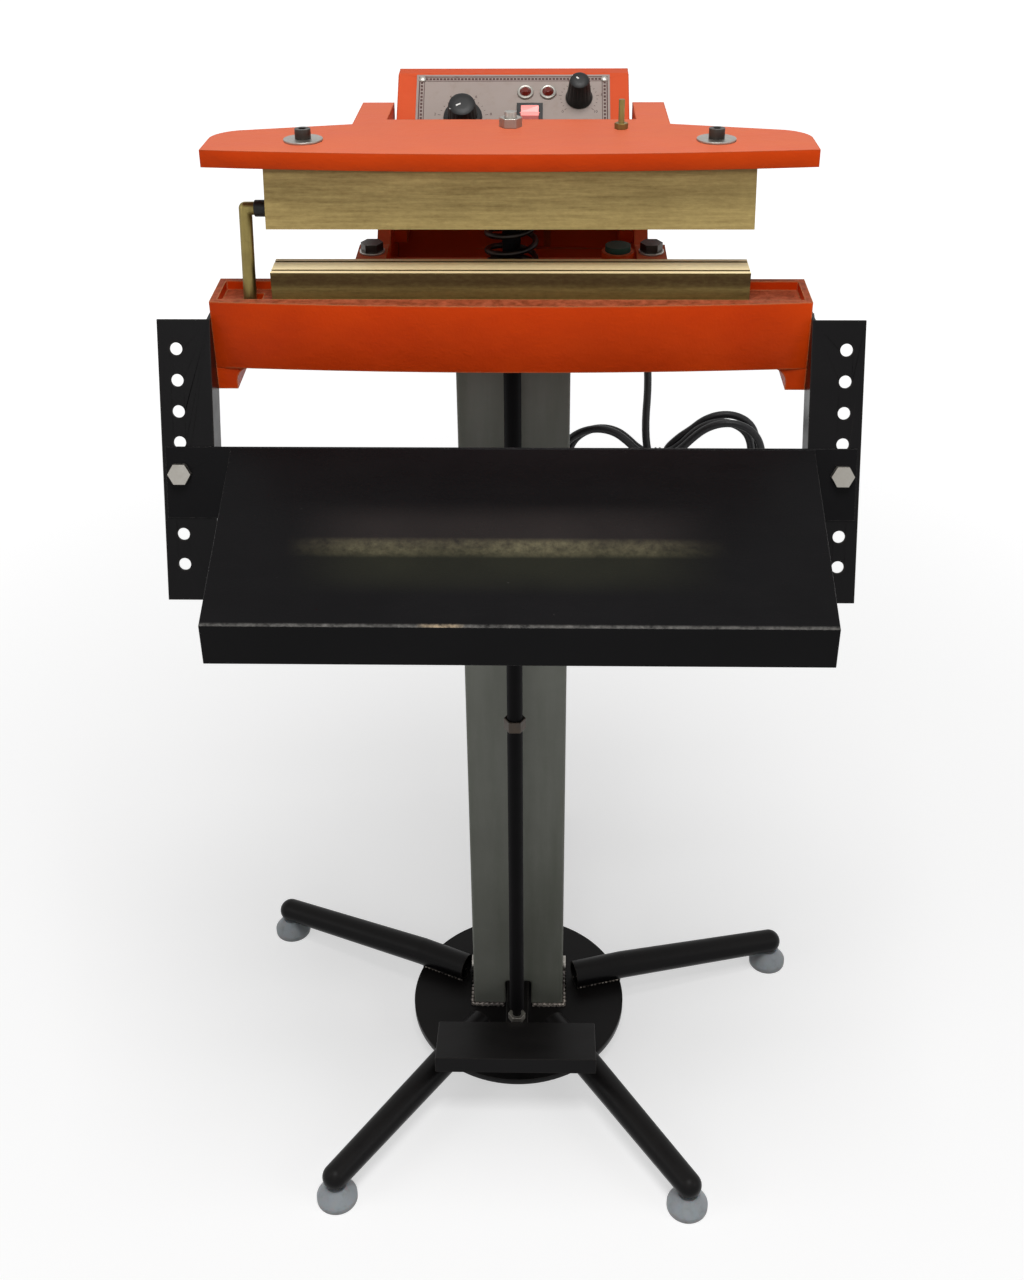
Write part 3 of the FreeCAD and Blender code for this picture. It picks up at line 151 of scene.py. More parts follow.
Term = Signal | float


class NodeSheet:
    """A node tree and the nodes that are added to it."""

    def __init__(self, tree: bpy.types.NodeTree) -> None:
        """Take a node tree and empty it."""
        self.tree = tree
        tree.nodes.clear()

    def node(self, kind: str, settings: dict | None = None,
             sockets: dict | None = None) -> bpy.types.Node:
        """Add a node, set its options first and then its sockets.

        Args:
            kind: The node's type.
            settings: Its options by name.
            sockets: Values, signals or sockets by the input's name or number.

        Returns:
            The new node.
        """
        made = self.tree.nodes.new(kind)
        for key, value in (settings or {}).items():
            setattr(made, key, value)
        for key, value in (sockets or {}).items():
            self.fill(made.inputs[key], value)
        return made

    def fill(self, entry: bpy.types.NodeSocket, value: "Paint | Term") -> None:
        """Link one input socket to a signal or a socket, or set its value."""
        if isinstance(value, Signal):
            value = value.socket
        if isinstance(value, bpy.types.NodeSocket):
            self.tree.links.new(value, entry)
        elif entry.type == "RGBA":
            entry.default_value = (*value, 1.0)
        else:
            entry.default_value = value

    def shown(self) -> Signal:
        """Return 1 to the camera, to reflections and through glass, and 0 to the light itself."""
        path = self.node("ShaderNodeLightPath").outputs
        seen = Signal(self, path["Is Camera Ray"])
        return seen.most(Signal(self, path["Is Glossy Ray"])).most(
            Signal(self, path["Is Transmission Ray"]))


class Pattern(Enum):
    """Fractal patterns of wear: features per metre, layers, weight of the fine ones, and stretch."""

    CLOUD = (9.0, 6.0, 0.55, EVEN)
    SMEAR = (38.0, 5.0, 0.65, (0.35, 1.0, 1.0))
    LUMPS = (70.0, 3.0, 0.55, EVEN)
    SPECK = (150.0, 3.0, 0.7, EVEN)
    PEEL = (420.0, 2.0, 0.55, EVEN)
    RUNS = (26.0, 5.0, 0.6, (1.0, 1.0, 0.10))
    TARNISH = (16.0, 6.0, 0.6, EVEN)
    SPOTS = (120.0, 4.0, 0.7, EVEN)
    JAW_CLOUD = (9.0, 6.0, 0.62, (0.6, 1.0, 1.0))
    JAW_MARKS = (260.0, 5.0, 0.75, (0.05, 1.0, 1.0))
    JAW_BRUSH = (900.0, 3.0, 0.7, (0.03, 1.0, 1.0))
    JAW_GRIT = (420.0, 4.0, 0.7, (0.4, 1.0, 1.0))
    HANDLING = (60.0, 5.0, 0.55, EVEN)
    SCUFFS = (240.0, 4.0, 0.7, (0.4, 1.0, 1.0))
    MILK = (90.0, 5.0, 0.65, EVEN)
    YELLOWING = (24.0, 5.0, 0.6, EVEN)
    THUMBING = (110.0, 4.0, 0.7, EVEN)


class ShaderSheet(NodeSheet):
    """One material, its Principled shader and the nodes that are added to it."""

    def __init__(self, name: str, metallic: float = 0.0, ior: float = 1.5) -> None:
        """Make an empty material with a Principled shader.

        Args:
            name: The material's name.
            metallic: 1 for bare metal and 0 for all else.
            ior: Index of refraction of the surface.
        """
        self.material = bpy.data.materials.new(name)
        self.material.use_nodes = True
        super().__init__(self.material.node_tree)
        output = self.node("ShaderNodeOutputMaterial")
        self.shader = self.node("ShaderNodeBsdfPrincipled", None,
                                {"Metallic": metallic, "IOR": ior})
        self.tree.links.new(self.shader.outputs[0], output.inputs[0])
        self.place = self.node("ShaderNodeTexCoord").outputs["Object"]

    def noise(self, scale: float, detail: float, roughness: float, stretch: Triple) -> Signal:
        """Return fractal noise over the object's own coordinates.

        Args:
            scale: Features per metre.
            detail: Number of finer layers.
            roughness: Weight of the finer layers.
            stretch: Factors on X, Y and Z; a small one draws the features out.

        Returns:
            The noise, from 0 to 1.
        """
        spread = self.node("ShaderNodeVectorMath", {"operation": "MULTIPLY"},
                           {0: self.place, 1: stretch})
        made = self.node("ShaderNodeTexNoise", None, {
            "Vector": spread.outputs[0], "Scale": scale, "Detail": detail,
            "Roughness": roughness})
        return Signal(self, made.outputs[0])

    def pattern(self, kind: Pattern) -> Signal:
        """Return the noise of one named pattern."""
        return self.noise(*kind.value)

    def along(self, axis: int) -> Signal:
        """Return one coordinate of the surface point, in metres."""
        parts = self.node("ShaderNodeSeparateXYZ", None, {0: self.place})
        return Signal(self, parts.outputs[axis])

    def facing_up(self, level: float = 0.6, softness: float = 0.4) -> Signal:
        """Return 1 on surfaces that face up, falling to 0 on upright ones."""
        normal = self.node("ShaderNodeNewGeometry").outputs["Normal"]
        parts = self.node("ShaderNodeSeparateXYZ", None, {0: normal})
        return Signal(self, parts.outputs[2]).above(level, softness)

    def edge(self, radius: float, gain: float = 6.0) -> Signal:
        """Return how sharply the surface bends near each point, from 0 on flats.

        Args:
            radius: How far from an edge the mask reaches, in metres.
            gain: How strongly a bend shows.

        Returns:
            The mask.
        """
        rounded = self.node("ShaderNodeBevel", {"samples": 4}, {"Radius": radius})
        flat = self.node("ShaderNodeNewGeometry").outputs["Normal"]
        dot = self.node("ShaderNodeVectorMath", {"operation": "DOT_PRODUCT"},
                        {0: rounded.outputs[0], 1: flat})
        return (1.0 - Signal(self, dot.outputs["Value"])) * gain

    def mix(self, first: "Paint", second: "Paint", share: Term) -> bpy.types.NodeSocket:
        """Blend two colours.

        Args:
            first: The colour at share 0.
            second: The colour at share 1.
            share: The share of the second.

        Returns:
            The blended colour's socket.
        """
        made = self.node("ShaderNodeMix", {"data_type": "RGBA", "clamp_factor": True},
                         {0: share, 6: first, 7: second})
        return made.outputs[2]

    def finish(self, colour: "Paint", roughness: Term, height: Signal,
               relief: float) -> bpy.types.Material:
        """Link the colour, the roughness and the bump, and hand the material over.

        Args:
            colour: The base colour.
            roughness: The roughness.
            height: Surface relief from 0 to 1.
            relief: How far the relief reaches, in metres.

        Returns:
            The finished material.
        """
        self.fill(self.shader.inputs["Base Color"], colour)
        self.fill(self.shader.inputs["Roughness"], roughness)
        bump = self.node("ShaderNodeBump", None,
                         {"Height": height, "Distance": relief, "Strength": 1.0})
        self.tree.links.new(bump.outputs[0], self.shader.inputs["Normal"])
        return self.material


Paint = Colour | bpy.types.NodeSocket


class Direction(Enum):
    """The way that brush marks run on bare metal."""

    ALONG_Z = (1.0, 1.0, 0.02)
    NONE = (1.0, 1.0, 1.0)


@dataclass(frozen=True)
class Finish:
    """A named surface that can be put on a piece."""

    made: ClassVar[dict[str, bpy.types.Material]] = {}
    name: str

    def build(self) -> bpy.types.Material:
        """Make the material at the first call, and return it at each."""
        if self.name not in self.made:
            self.made[self.name] = self.paint()
        return self.made[self.name]

    def paint(self) -> bpy.types.Material:
        """Make the material's nodes."""
        raise NotImplementedError


@dataclass(frozen=True)
class Enamel(Finish):
    """Brushed or sprayed enamel on metal: mottled, dusty and paled by a painted sheen on top, chipped
    at its edges.
    """

    colour: Colour
    shade: Colour
    # Colour laid on upward faces: real dust together with a painted sheen.
    dust_and_sheen: Colour
    bare: Colour
    gloss: float = 0.42
    dust_and_sheen_amount: float = 0.3
    chips: float = 0.5
    lumps: float = 0.0
    relief: float = 0.00025
    edge_reach: float = 0.0025
    ior: float = 1.22

    def paint(self) -> bpy.types.Material:
        """Make the enamel's nodes."""
        sheet = ShaderSheet(self.name, ior=self.ior)
        cloud = sheet.pattern(Pattern.CLOUD)
        smear = sheet.pattern(Pattern.SMEAR)
        speck = sheet.pattern(Pattern.SPECK)
        chipped = (sheet.edge(self.edge_reach) * 0.55 + speck * 0.75).above(0.78, 0.06)
        nick = speck.above(0.765, 0.02) * cloud.above(0.52, 0.1)
        bare = (chipped + nick * 0.6) * self.chips
        # Upward faces get real dust and a painted sheen that pales and lightens them.
        dusty = sheet.facing_up() * (0.35 + smear * 0.9) * self.dust_and_sheen_amount
        body = sheet.mix(self.shade, self.colour, cloud.above(0.47, 0.3) * 0.8 + smear * 0.2)
        body = sheet.mix(body, self.dust_and_sheen, dusty)
        body = self.stained(sheet, body, cloud, speck)
        body = sheet.mix(body, self.bare, bare)
        rough = self.gloss + (smear - 0.5) * 0.22 + dusty * 0.5 + bare * 0.2
        height = sheet.pattern(Pattern.PEEL) * 0.35 - bare * 0.5
        height = height + sheet.pattern(Pattern.LUMPS) * self.lumps
        return sheet.finish(body, rough, height, self.relief)

    def stained(self, sheet: ShaderSheet, body: bpy.types.NodeSocket, cloud: Signal,
                speck: Signal) -> bpy.types.NodeSocket:
        """Return the body colour as it is, for a surface without a stain, painted shade or painted
        reflection of its own.
        """
        return body


@dataclass(frozen=True)
class WornDeckWithPaintedReflection(Enamel):
    """Black enamel of the tray, with a painted warm reflection across its middle and a scraped,
    chipped front edge.
    """

    # Colours of the painted warm reflection: its broad haze behind the band, the haze ahead of it,
    # and the band itself.
    reflection_haze: Colour = (0.030, 0.025, 0.024)
    reflection_haze_ahead: Colour = (0.024, 0.025, 0.016)
    reflection_band: Colour = (0.15, 0.135, 0.080)
    scraped: Colour = (0.17, 0.165, 0.155)
    chip: Colour = (0.50, 0.38, 0.24)
    half_width: float = 0.14142
    band_at: float = 0.42
    band_reach: float = 0.0075
    veil_reach: float = 0.034
    lip_reach: float = 0.0026
    chip_from_middle: float = -0.050
    chip_reach: float = 0.014832

    def stained(self, sheet: ShaderSheet, body: bpy.types.NodeSocket, cloud: Signal,
                speck: Signal) -> bpy.types.NodeSocket:
        """Paint a wide warm reflection and a narrow bright reflected band over the deck, and scrape
        its front edge.
        """
        low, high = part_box("tray")
        across = sheet.along(0) - (low.x + high.x) / 2
        near = sheet.along(1) - (low.y + (high.y - low.y) * self.band_at)
        up = sheet.facing_up()
        # The middle of the deck's upward face, which carries the painted reflection.
        worn = across.within(self.half_width, 0.65) * up
        # Broad painted reflection round the band.
        reflection_veil = near.within(self.veil_reach, 0.9) * worn
        reflection_haze = sheet.mix(self.reflection_haze_ahead, self.reflection_haze, near.above(0.0, 0.006))
        body = sheet.mix(body, reflection_haze, reflection_veil * (0.15 + cloud))
        # Narrow painted reflected band, brightest along its middle line.
        reflection_streak = near.within(self.band_reach) * worn * (cloud.above(0.48, 0.2) * 0.7 + 0.3)
        body = sheet.mix(body, self.reflection_band, reflection_streak * (speck * 1.9 - 0.3))
        lip = (1.0 - (sheet.along(1) - low.y).above(self.lip_reach, 0.0012)) * up
        body = sheet.mix(body, self.scraped, lip * (speck * 2.2 - 0.55))
        chip = (across - self.chip_from_middle).within(self.chip_reach, 0.818)
        return sheet.mix(body, self.chip, lip * chip * (speck * 3.0 - 0.9))


@dataclass(frozen=True)
class GrimyCasting(Enamel):
    """Enamel of the lower beam, with brown grime on the floor of its trough."""

    dark_fill: Colour = (0.16, 0.030, 0.008)
    rim: float = 0.004

    def stained(self, sheet: ShaderSheet, body: bpy.types.NodeSocket, cloud: Signal,
                speck: Signal) -> bpy.types.NodeSocket:
        """Darken what faces up below the beam's rim."""
        deep = 1.0 - sheet.along(2).above(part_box("lower_beam")[1].z - self.rim, 0.002)
        return sheet.mix(body, self.dark_fill, deep * sheet.facing_up() * (0.2 + speck * 1.1))


@dataclass(frozen=True)
class ShadedChannel(Enamel):
    """Enamel of a grey channel, streaked, with painted shade over what lies inside its walls."""

    # Colour of the painted shade inside the channel's walls.
    dark_fill: Colour = (0.030, 0.029, 0.026)
    streaked: Colour = (0.150, 0.160, 0.126)
    wall: float = 0.005

    def stained(self, sheet: ShaderSheet, body: bpy.types.NodeSocket, cloud: Signal,
                speck: Signal) -> bpy.types.NodeSocket:
        """Streak the enamel downwards, and paint shade over what lies inside the outer walls."""
        low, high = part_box("column")
        across = sheet.along(0) - (low.x + high.x) / 2
        inside = across.within((high.x - low.x) / 2 - self.wall, 0.0434)
        behind = sheet.along(1).above(low.y + self.wall, 0.0005)
        runs = sheet.pattern(Pattern.RUNS).above(0.55, 0.16)
        body = sheet.mix(body, self.streaked, runs * 0.55 + speck * cloud * 0.3)
        # Painted shade inside the walls.
        return sheet.mix(body, self.dark_fill, inside * behind)


@dataclass(frozen=True)
class BrushedMetal(Finish):
    """Bare or plated metal with brush marks, stains and a little dirt."""

    colour: Colour
    stain: Colour
    marks: Direction = Direction.NONE
    gloss: float = 0.3
    stained: float = 0.4
    relief: float = 0.00006

    def paint(self) -> bpy.types.Material:
        """Make the metal's nodes."""
        sheet = ShaderSheet(self.name, metallic=1.0)
        brush = sheet.noise(900.0, 3.0, 0.7, self.marks.value)
        wide = sheet.noise(140.0, 4.0, 0.7, self.marks.value)
        spots = sheet.pattern(Pattern.SPOTS).above(0.66, 0.05) * 0.2
        cloud = sheet.pattern(Pattern.TARNISH).above(0.55, 0.22)
        stains = cloud * self.stained + spots + (wide - 0.5) * 0.5
        body = sheet.mix(self.colour, self.stain, stains)
        rough = self.gloss + (wide - 0.5) * 0.35 + stains * 0.2
        return sheet.finish(body, rough, brush * 0.6 + wide * 0.6, self.relief)


@dataclass(frozen=True)
class HeatedBrass(Finish):
    """Brass of a jaw: brushed along its length, with painted shade along a band at one height and a
    painted highlight on its upward faces.
    """

    colour: Colour
    stain: Colour
    # Colour of the painted highlight on upward faces.
    painted_highlight: Colour
    # Colour, height and reach of the band of painted shade.
    painted_shade: Colour
    painted_shade_above: float
    painted_shade_reach: float

    def paint(self) -> bpy.types.Material:
        """Make the brass nodes; the painted shade band's height is measured from the lower jaw's top.
        """
        sheet = ShaderSheet(self.name, ior=1.3)
        wide = sheet.pattern(Pattern.JAW_MARKS)
        grit = sheet.pattern(Pattern.JAW_GRIT)
        up = sheet.facing_up()
        cloud = sheet.pattern(Pattern.JAW_CLOUD).above(0.52, 0.22)
        share = cloud * 0.3 + (wide - 0.5) * 1.5 + (grit - 0.5) * 0.9 + 0.25
        body = sheet.mix(self.colour, self.stain, share)
        # Band of painted shade where the jaw lies under the part above it.
        near = sheet.along(2) - (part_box("lower_jaw")[1].z + self.painted_shade_above)
        painted_shade = near.within(self.painted_shade_reach) * (1.0 - up)
        body = sheet.mix(body, self.painted_shade, painted_shade * (0.55 + grit * 0.7))
        # Painted highlight on upward faces; the metal is cut there too, so that the lamps light them
        # bright.
        body = sheet.mix(body, self.painted_highlight, up * (0.72 + grit * 0.5))
        rough = 0.42 + (wide - 0.5) * 0.3 + share * 0.1
        sheet.fill(sheet.shader.inputs["Metallic"], 0.45 - up * 0.40)
        height = sheet.pattern(Pattern.JAW_BRUSH) * 0.5 + wide * 0.8
        return sheet.finish(body, rough, height, 0.0001)


@dataclass(frozen=True)
class Moulded(Finish):
    """Moulded plastic or rubber with fine grain, scuffs and settled dust."""

    colour: Colour
    worn: Colour
    gloss: float = 0.35
    grain: float = 900.0
    relief: float = 0.00005
    scuffs: float = 0.3
    glow: float = 0.0

    def paint(self) -> bpy.types.Material:
        """Make the plastic's nodes."""
        sheet = ShaderSheet(self.name, ior=1.35)
        cloud = sheet.pattern(Pattern.HANDLING)
        grain = sheet.noise(self.grain, 2.0, 0.55, EVEN)
        scuff = sheet.pattern(Pattern.SCUFFS).above(0.62, 0.06) * self.scuffs
        dusty = sheet.facing_up() * cloud * 0.25
        body = sheet.mix(self.colour, self.worn, scuff * 0.6 + dusty)
        if self.glow:
            sheet.fill(sheet.shader.inputs["Emission Strength"], self.glow)
            sheet.fill(sheet.shader.inputs["Emission Color"], body)
        rough = self.gloss + (cloud - 0.5) * 0.12 + scuff * 0.3
        return sheet.finish(body, rough, grain * 0.6 + scuff * 0.4, self.relief)


@dataclass(frozen=True)
class Milky(Finish):
    """Pale translucent plastic, darker towards the bottom and in random patches."""

    colour: Colour
    darker_tone: Colour
    darker_below: float = 0.004

    def paint(self) -> bpy.types.Material:
        """Make the glide's nodes."""
        sheet = ShaderSheet(self.name, ior=1.46)
        # Darker towards the bottom.
        low = 1.0 - sheet.along(2).above(self.darker_below, self.darker_below)
        cloud = sheet.pattern(Pattern.MILK)
        sheet.fill(sheet.shader.inputs["Subsurface Weight"], 0.25)
        sheet.fill(sheet.shader.inputs["Subsurface Scale"], 0.006)
        body = sheet.mix(self.colour, self.darker_tone, low * 0.5 + cloud.above(0.6, 0.15) * 0.35)
        return sheet.finish(body, 0.32 + cloud * 0.2, cloud, 0.0002)


@dataclass(frozen=True)
class PrintedFilm(Finish):
    """Light film of the control panel, a little yellowed and thumbed."""

    colour: Colour
    yellowed: Colour

    def paint(self) -> bpy.types.Material:
        """Make the film's nodes."""
        sheet = ShaderSheet(self.name, ior=1.3)
        cloud = sheet.pattern(Pattern.YELLOWING)
        thumbed = sheet.pattern(Pattern.THUMBING).above(0.6, 0.12)
        body = sheet.mix(self.colour, self.yellowed, cloud * 0.6 + thumbed * 0.25)
        return sheet.finish(body, 0.6 + thumbed * 0.2, cloud, 0.0001)


# The orange's dust colour on upward faces also serves as a painted sheen on the tops.
ORANGE = Enamel("orange_enamel", (0.70, 0.066, 0.004), (0.58, 0.041, 0.002), (0.78, 0.30, 0.17),
                (0.30, 0.07, 0.02), gloss=0.38, dust_and_sheen_amount=0.5, chips=0.6, lumps=0.9,
                relief=0.0006)
BEAM_ORANGE = GrimyCasting("beam_enamel", (0.74, 0.065, 0.003), (0.61, 0.040, 0.002),
                           (0.84, 0.34, 0.19), (0.50, 0.26, 0.11), dust_and_sheen_amount=0.55,
                           chips=0.75, lumps=0.9, relief=0.0006)
BOX_ORANGE = Enamel("box_enamel", (0.66, 0.070, 0.008), (0.56, 0.048, 0.005), (0.74, 0.27, 0.16),
                    (0.30, 0.07, 0.02), gloss=0.55, dust_and_sheen_amount=0.18, lumps=0.1)
BLACK = Enamel("black_enamel", (0.0060, 0.0055, 0.0060), (0.0035, 0.0033, 0.0037),
               (0.018, 0.016, 0.014), (0.07, 0.06, 0.05), gloss=0.30, chips=0.3, lumps=0.2,
               ior=1.20)
TRAY_BLACK = WornDeckWithPaintedReflection("tray_enamel", (0.0070, 0.0066, 0.0072), (0.0042, 0.0040, 0.0045),
                      (0.012, 0.011, 0.011), (0.20, 0.19, 0.18), gloss=0.24, dust_and_sheen_amount=0.08,
                      chips=0.6, lumps=0.3, relief=0.0002, edge_reach=0.0012, ior=1.15)
ROD_BLACK = Enamel("rod_enamel", (0.0040, 0.0036, 0.0040), (0.0025, 0.0023, 0.0026),
                   (0.008, 0.007, 0.006), (0.03, 0.026, 0.022), gloss=0.62, dust_and_sheen_amount=0.1,
                   chips=0.2, ior=1.15)
GREY_COLOURS = ((0.277, 0.287, 0.251), (0.203, 0.206, 0.180), (0.36, 0.36, 0.32),
                (0.06, 0.05, 0.035))
GREY = Enamel("grey_enamel", *GREY_COLOURS, chips=0.7, lumps=0.4, edge_reach=0.004, ior=1.3)
# The channel's inside takes painted shade.
CHANNEL = ShadedChannel("channel_enamel", *GREY_COLOURS, chips=0.7, lumps=0.4, edge_reach=0.004,
                        ior=1.3)
# The lower jaw's colour and stain are darkened by painted shade from the upper jaw above it; its top
# takes a painted highlight.
LOWER_BRASS = HeatedBrass("lower_jaw_brass", (0.20, 0.15, 0.048), (0.07, 0.045, 0.012),
                          (1.0, 0.83, 0.47), (0.055, 0.030, 0.008), -0.006, 0.006)
# The upper jaw's band of painted shade lies high on the jaw, under the arm.
UPPER_BRASS = HeatedBrass("upper_jaw_brass", (0.48, 0.36, 0.138), (0.235, 0.163, 0.057),
                          (0.60, 0.46, 0.20), (0.21, 0.145, 0.052), 0.085, 0.003)
ZINC = BrushedMetal("zinc_plate", (0.36, 0.345, 0.315), (0.18, 0.155, 0.12), gloss=0.38)
DARK_STEEL = BrushedMetal("black_oxide", (0.045, 0.040, 0.037), (0.11, 0.075, 0.045), gloss=0.4)
BRONZE = BrushedMetal("turned_bronze", (0.50, 0.32, 0.14), (0.22, 0.13, 0.06))
PIPE_BRASS = BrushedMetal("pipe_brass", (0.26, 0.205, 0.072), (0.10, 0.075, 0.03),
                          Direction.ALONG_Z, gloss=0.36, stained=0.6)
CARTRIDGE = BrushedMetal("heated_steel", (0.30, 0.27, 0.24), (0.12, 0.08, 0.07), gloss=0.45)
SPRING_STEEL = BrushedMetal("spring_wire", (0.020, 0.018, 0.018), (0.07, 0.05, 0.035), gloss=0.4)
WELD = BrushedMetal("weld_bead", (0.10, 0.09, 0.085), (0.34, 0.30, 0.26), gloss=0.35,
                    stained=0.9, relief=0.0003)
GLIDE = Milky("milky_glide", (0.38, 0.41, 0.435), (0.18, 0.17, 0.16))
FILM = PrintedFilm("printed_film", (0.345, 0.290, 0.264), (0.28, 0.22, 0.185))
PAD = Moulded("green_rubber", (0.010, 0.035, 0.022), (0.04, 0.06, 0.05), gloss=0.6)
KNOB = Moulded("knob_moulding", (0.005, 0.005, 0.005), (0.022, 0.021, 0.020), gloss=0.46)
CASE_PLASTIC = Moulded("case_plastic", (0.009, 0.009, 0.009), (0.045, 0.045, 0.045), gloss=0.42)
SHEATH = Moulded("cord_sheath", (0.008, 0.008, 0.009), (0.04, 0.04, 0.04), gloss=0.44,
                 grain=700.0, relief=0.0001)
LENS = Moulded("pilot_lens", (0.13, 0.015, 0.010), (0.28, 0.09, 0.07), gloss=0.12, scuffs=0.1)
ROCKER = Moulded("lit_rocker", (0.80, 0.22, 0.20), (0.86, 0.50, 0.46), gloss=0.25, glow=0.45)
INK = Moulded("panel_ink", (0.060, 0.020, 0.016), (0.12, 0.07, 0.06), gloss=0.5)
POINTER = Moulded("pointer_white", (0.70, 0.69, 0.66), (0.5, 0.48, 0.44), gloss=0.45)
TIE = Moulded("tie_plastic", (0.012, 0.012, 0.012), (0.05, 0.05, 0.05))


def new_piece(name: str, shape: bmesh.types.BMesh, finish: Finish, body: str) -> bpy.types.Object:
    """Turn a finished bmesh into a piece that rides on a body.

    Args:
        name: The piece's name.
        shape: Its mesh, in the frame's metres. It is freed.
        finish: What it is made of.
        body: The CAD body that it rides on.

    Returns:
        The new object.
    """
    mesh = bpy.data.meshes.new(name)
    bmesh.ops.recalc_face_normals(shape, faces=shape.faces)
    shape.to_mesh(mesh)
    shape.free()
    thing = bpy.data.objects.new(name, mesh)
    bpy.context.scene.collection.objects.link(thing)
    mesh.materials.append(finish.build())
    for face in mesh.polygons:
        face.use_smooth = True
    mesh.set_sharp_from_angle(angle=SHARP_ANGLE)
    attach(thing, body)
    LOG.info("piece %s: %d faces", name, len(mesh.polygons))
    return thing


def skin(shape: bmesh.types.BMesh, rings: list[list[bmesh.types.BMVert]],
         closed: bool = False) -> None:
    """Join rings of points by faces, and cap both ends.

    Args:
        shape: The bmesh that holds the points.
        rings: The rings, each with the same number of points.
        closed: Whether the last ring joins the first, so that there is no end.
    """
    pairs = list(zip(rings, rings[1:]))
    if closed:
        pairs.append((rings[-1], rings[0]))
    for low, high in pairs:
        for n in range(len(low)):
            shape.faces.new((low[n - 1], low[n], high[n], high[n - 1]))
    if not closed:
        shape.faces.new(rings[0])
        shape.faces.new(rings[-1])


def turned(shape: bmesh.types.BMesh, profile: Outline, place: Matrix, steps: int,
           groove: Callable[[float, float], float] | None = None) -> None:
    """Add a closed turned form to a bmesh.

    Args:
        shape: The bmesh that it is added to.
        profile: Radius and height of each point in millimetres, from bottom to top.
        place: Where the turned form's axis stands.
        steps: Number of faces around it.
        groove: Gives how deep the form is cut at an angle and a height, if it is cut.
    """
    rings = []
    for radius, height in profile:
        ring = []
        for n in range(steps):
            angle = math.tau * n / steps
            reach = radius - (groove(angle, height) if groove else 0.0)
            spot = Vector((reach * math.cos(angle), reach * math.sin(angle), height)) * MM
            ring.append(shape.verts.new(place @ spot))
        rings.append(ring)
    skin(shape, rings)


def tube(shape: bmesh.types.BMesh, path: list[Vector], radii: list[float], sides: int = 8,
         closed: bool = False) -> None:
    """Add a round tube along a path of points to a bmesh.

    Args:
        shape: The bmesh that it is added to.
        path: The points of its middle line, in metres.
        radii: The tube's radius at each point, in millimetres.
        sides: Number of faces around it.
        closed: Whether its end joins its start.
    """
    rings = []
    for n, spot in enumerate(path):
        before = path[n - 1] if n or closed else spot
        after = path[(n + 1) % len(path)] if n + 1 < len(path) or closed else spot
        ahead = (after - before).normalized()
        side = ahead.cross(Vector((0.0, 0.0, 1.0))).normalized()
        over = side.cross(ahead).normalized()
        ring = []
        for k in range(sides):
            angle = math.tau * k / sides
            reach = (side * math.cos(angle) + over * math.sin(angle)) * (radii[n] * MM)
            ring.append(shape.verts.new(spot + reach))
        rings.append(ring)
    skin(shape, rings, closed)


Dressings = tuple[tuple[str, Finish, float], ...]


@dataclass
class SubAssembly:
    """CAD nodes that are dressed together, and the pieces added to them.

    Each dressing is a CAD node's name, its finish and the radius in millimetres that
    its edges are rounded to, or 0 for none.
    """

    dressings: Dressings = ()

    def build(self) -> None:
        """Dress the nodes and add the pieces."""
        for name, finish, rounding in self.dressings:
            self.dress(name, finish, rounding * MM)
        self.add_pieces()

    def add_pieces(self) -> None:
        """Add nothing, for a sub-assembly that is made of CAD nodes alone."""

    def dress(self, name: str, finish: Finish, rounding: float) -> None:
        """Give a CAD node its finish, and round its edges with modifiers.

        Args:
            name: The CAD node's name.
            finish: The finish.
            rounding: Radius of the rounding in metres, or 0 for none.
        """
        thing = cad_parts[name]
        thing.data.materials.clear()
        thing.data.materials.append(finish.build())
        if rounding:
            weld = thing.modifiers.new("join", "WELD")
            weld.merge_threshold = 0.00001
            bevel = thing.modifiers.new("rounding", "BEVEL")
            bevel.width = rounding
            bevel.segments = 3
            bevel.limit_method = "ANGLE"
            bevel.angle_limit = ROUNDED_ANGLE
            bevel.harden_normals = True
            bevel.use_clamp_overlap = True
        LOG.info("dressed %s in %s", name, finish.name)


@dataclass
class FootStand(SubAssembly):
    """The base disk, its five legs and their glides, with the weld beads."""

    dressings: Dressings = (
        ("base_disk", BLACK, 1.5), ("leg_rear", BLACK, 0.0), ("leg_left_rear", BLACK, 0.0),
        ("leg_left_front", BLACK, 0.0), ("leg_right_front", BLACK, 0.0),
        ("leg_right_rear", BLACK, 0.0), ("foot_glides", GLIDE, 1.2))
    leg_angles: tuple[float, ...] = (88.0, 155.5, 233.2, 305.5, 16.0)
    bead: float = 2.6
    bead_start: float = 71.0
    bead_height: float = 33.6
    bead_away: float = 7.6
    waver: float = 0.5
    step: float = 1.4
    steps: int = 41

    def add_pieces(self) -> None:
        """Lay the beads where the legs meet the disk."""
        shape = bmesh.new()
        for angle in self.leg_angles:
            self.lay_beads(shape, math.radians(angle))
        new_piece("leg_welds", shape, WELD, "frame")

    def lay_beads(self, shape: bmesh.types.BMesh, angle: float) -> None:
        """Add the two wavy beads along a leg's root."""
        ahead = Vector((math.cos(angle), math.sin(angle), 0.0))
        side = Vector((-ahead.y, ahead.x, 0.0))
        for hand in (-1.0, 1.0):
            path, radii = [], []
            for n in range(self.steps):
                wave = self.waver * math.sin(n * 1.9 + angle * 5.0)
                run = self.bead_start + n * self.step
                spot = ahead * run + side * hand * (self.bead_away + wave)
                path.append(in_frame(spot.x, spot.y, self.bead_height))
                radii.append(self.bead + wave)
            tube(shape, path, radii)


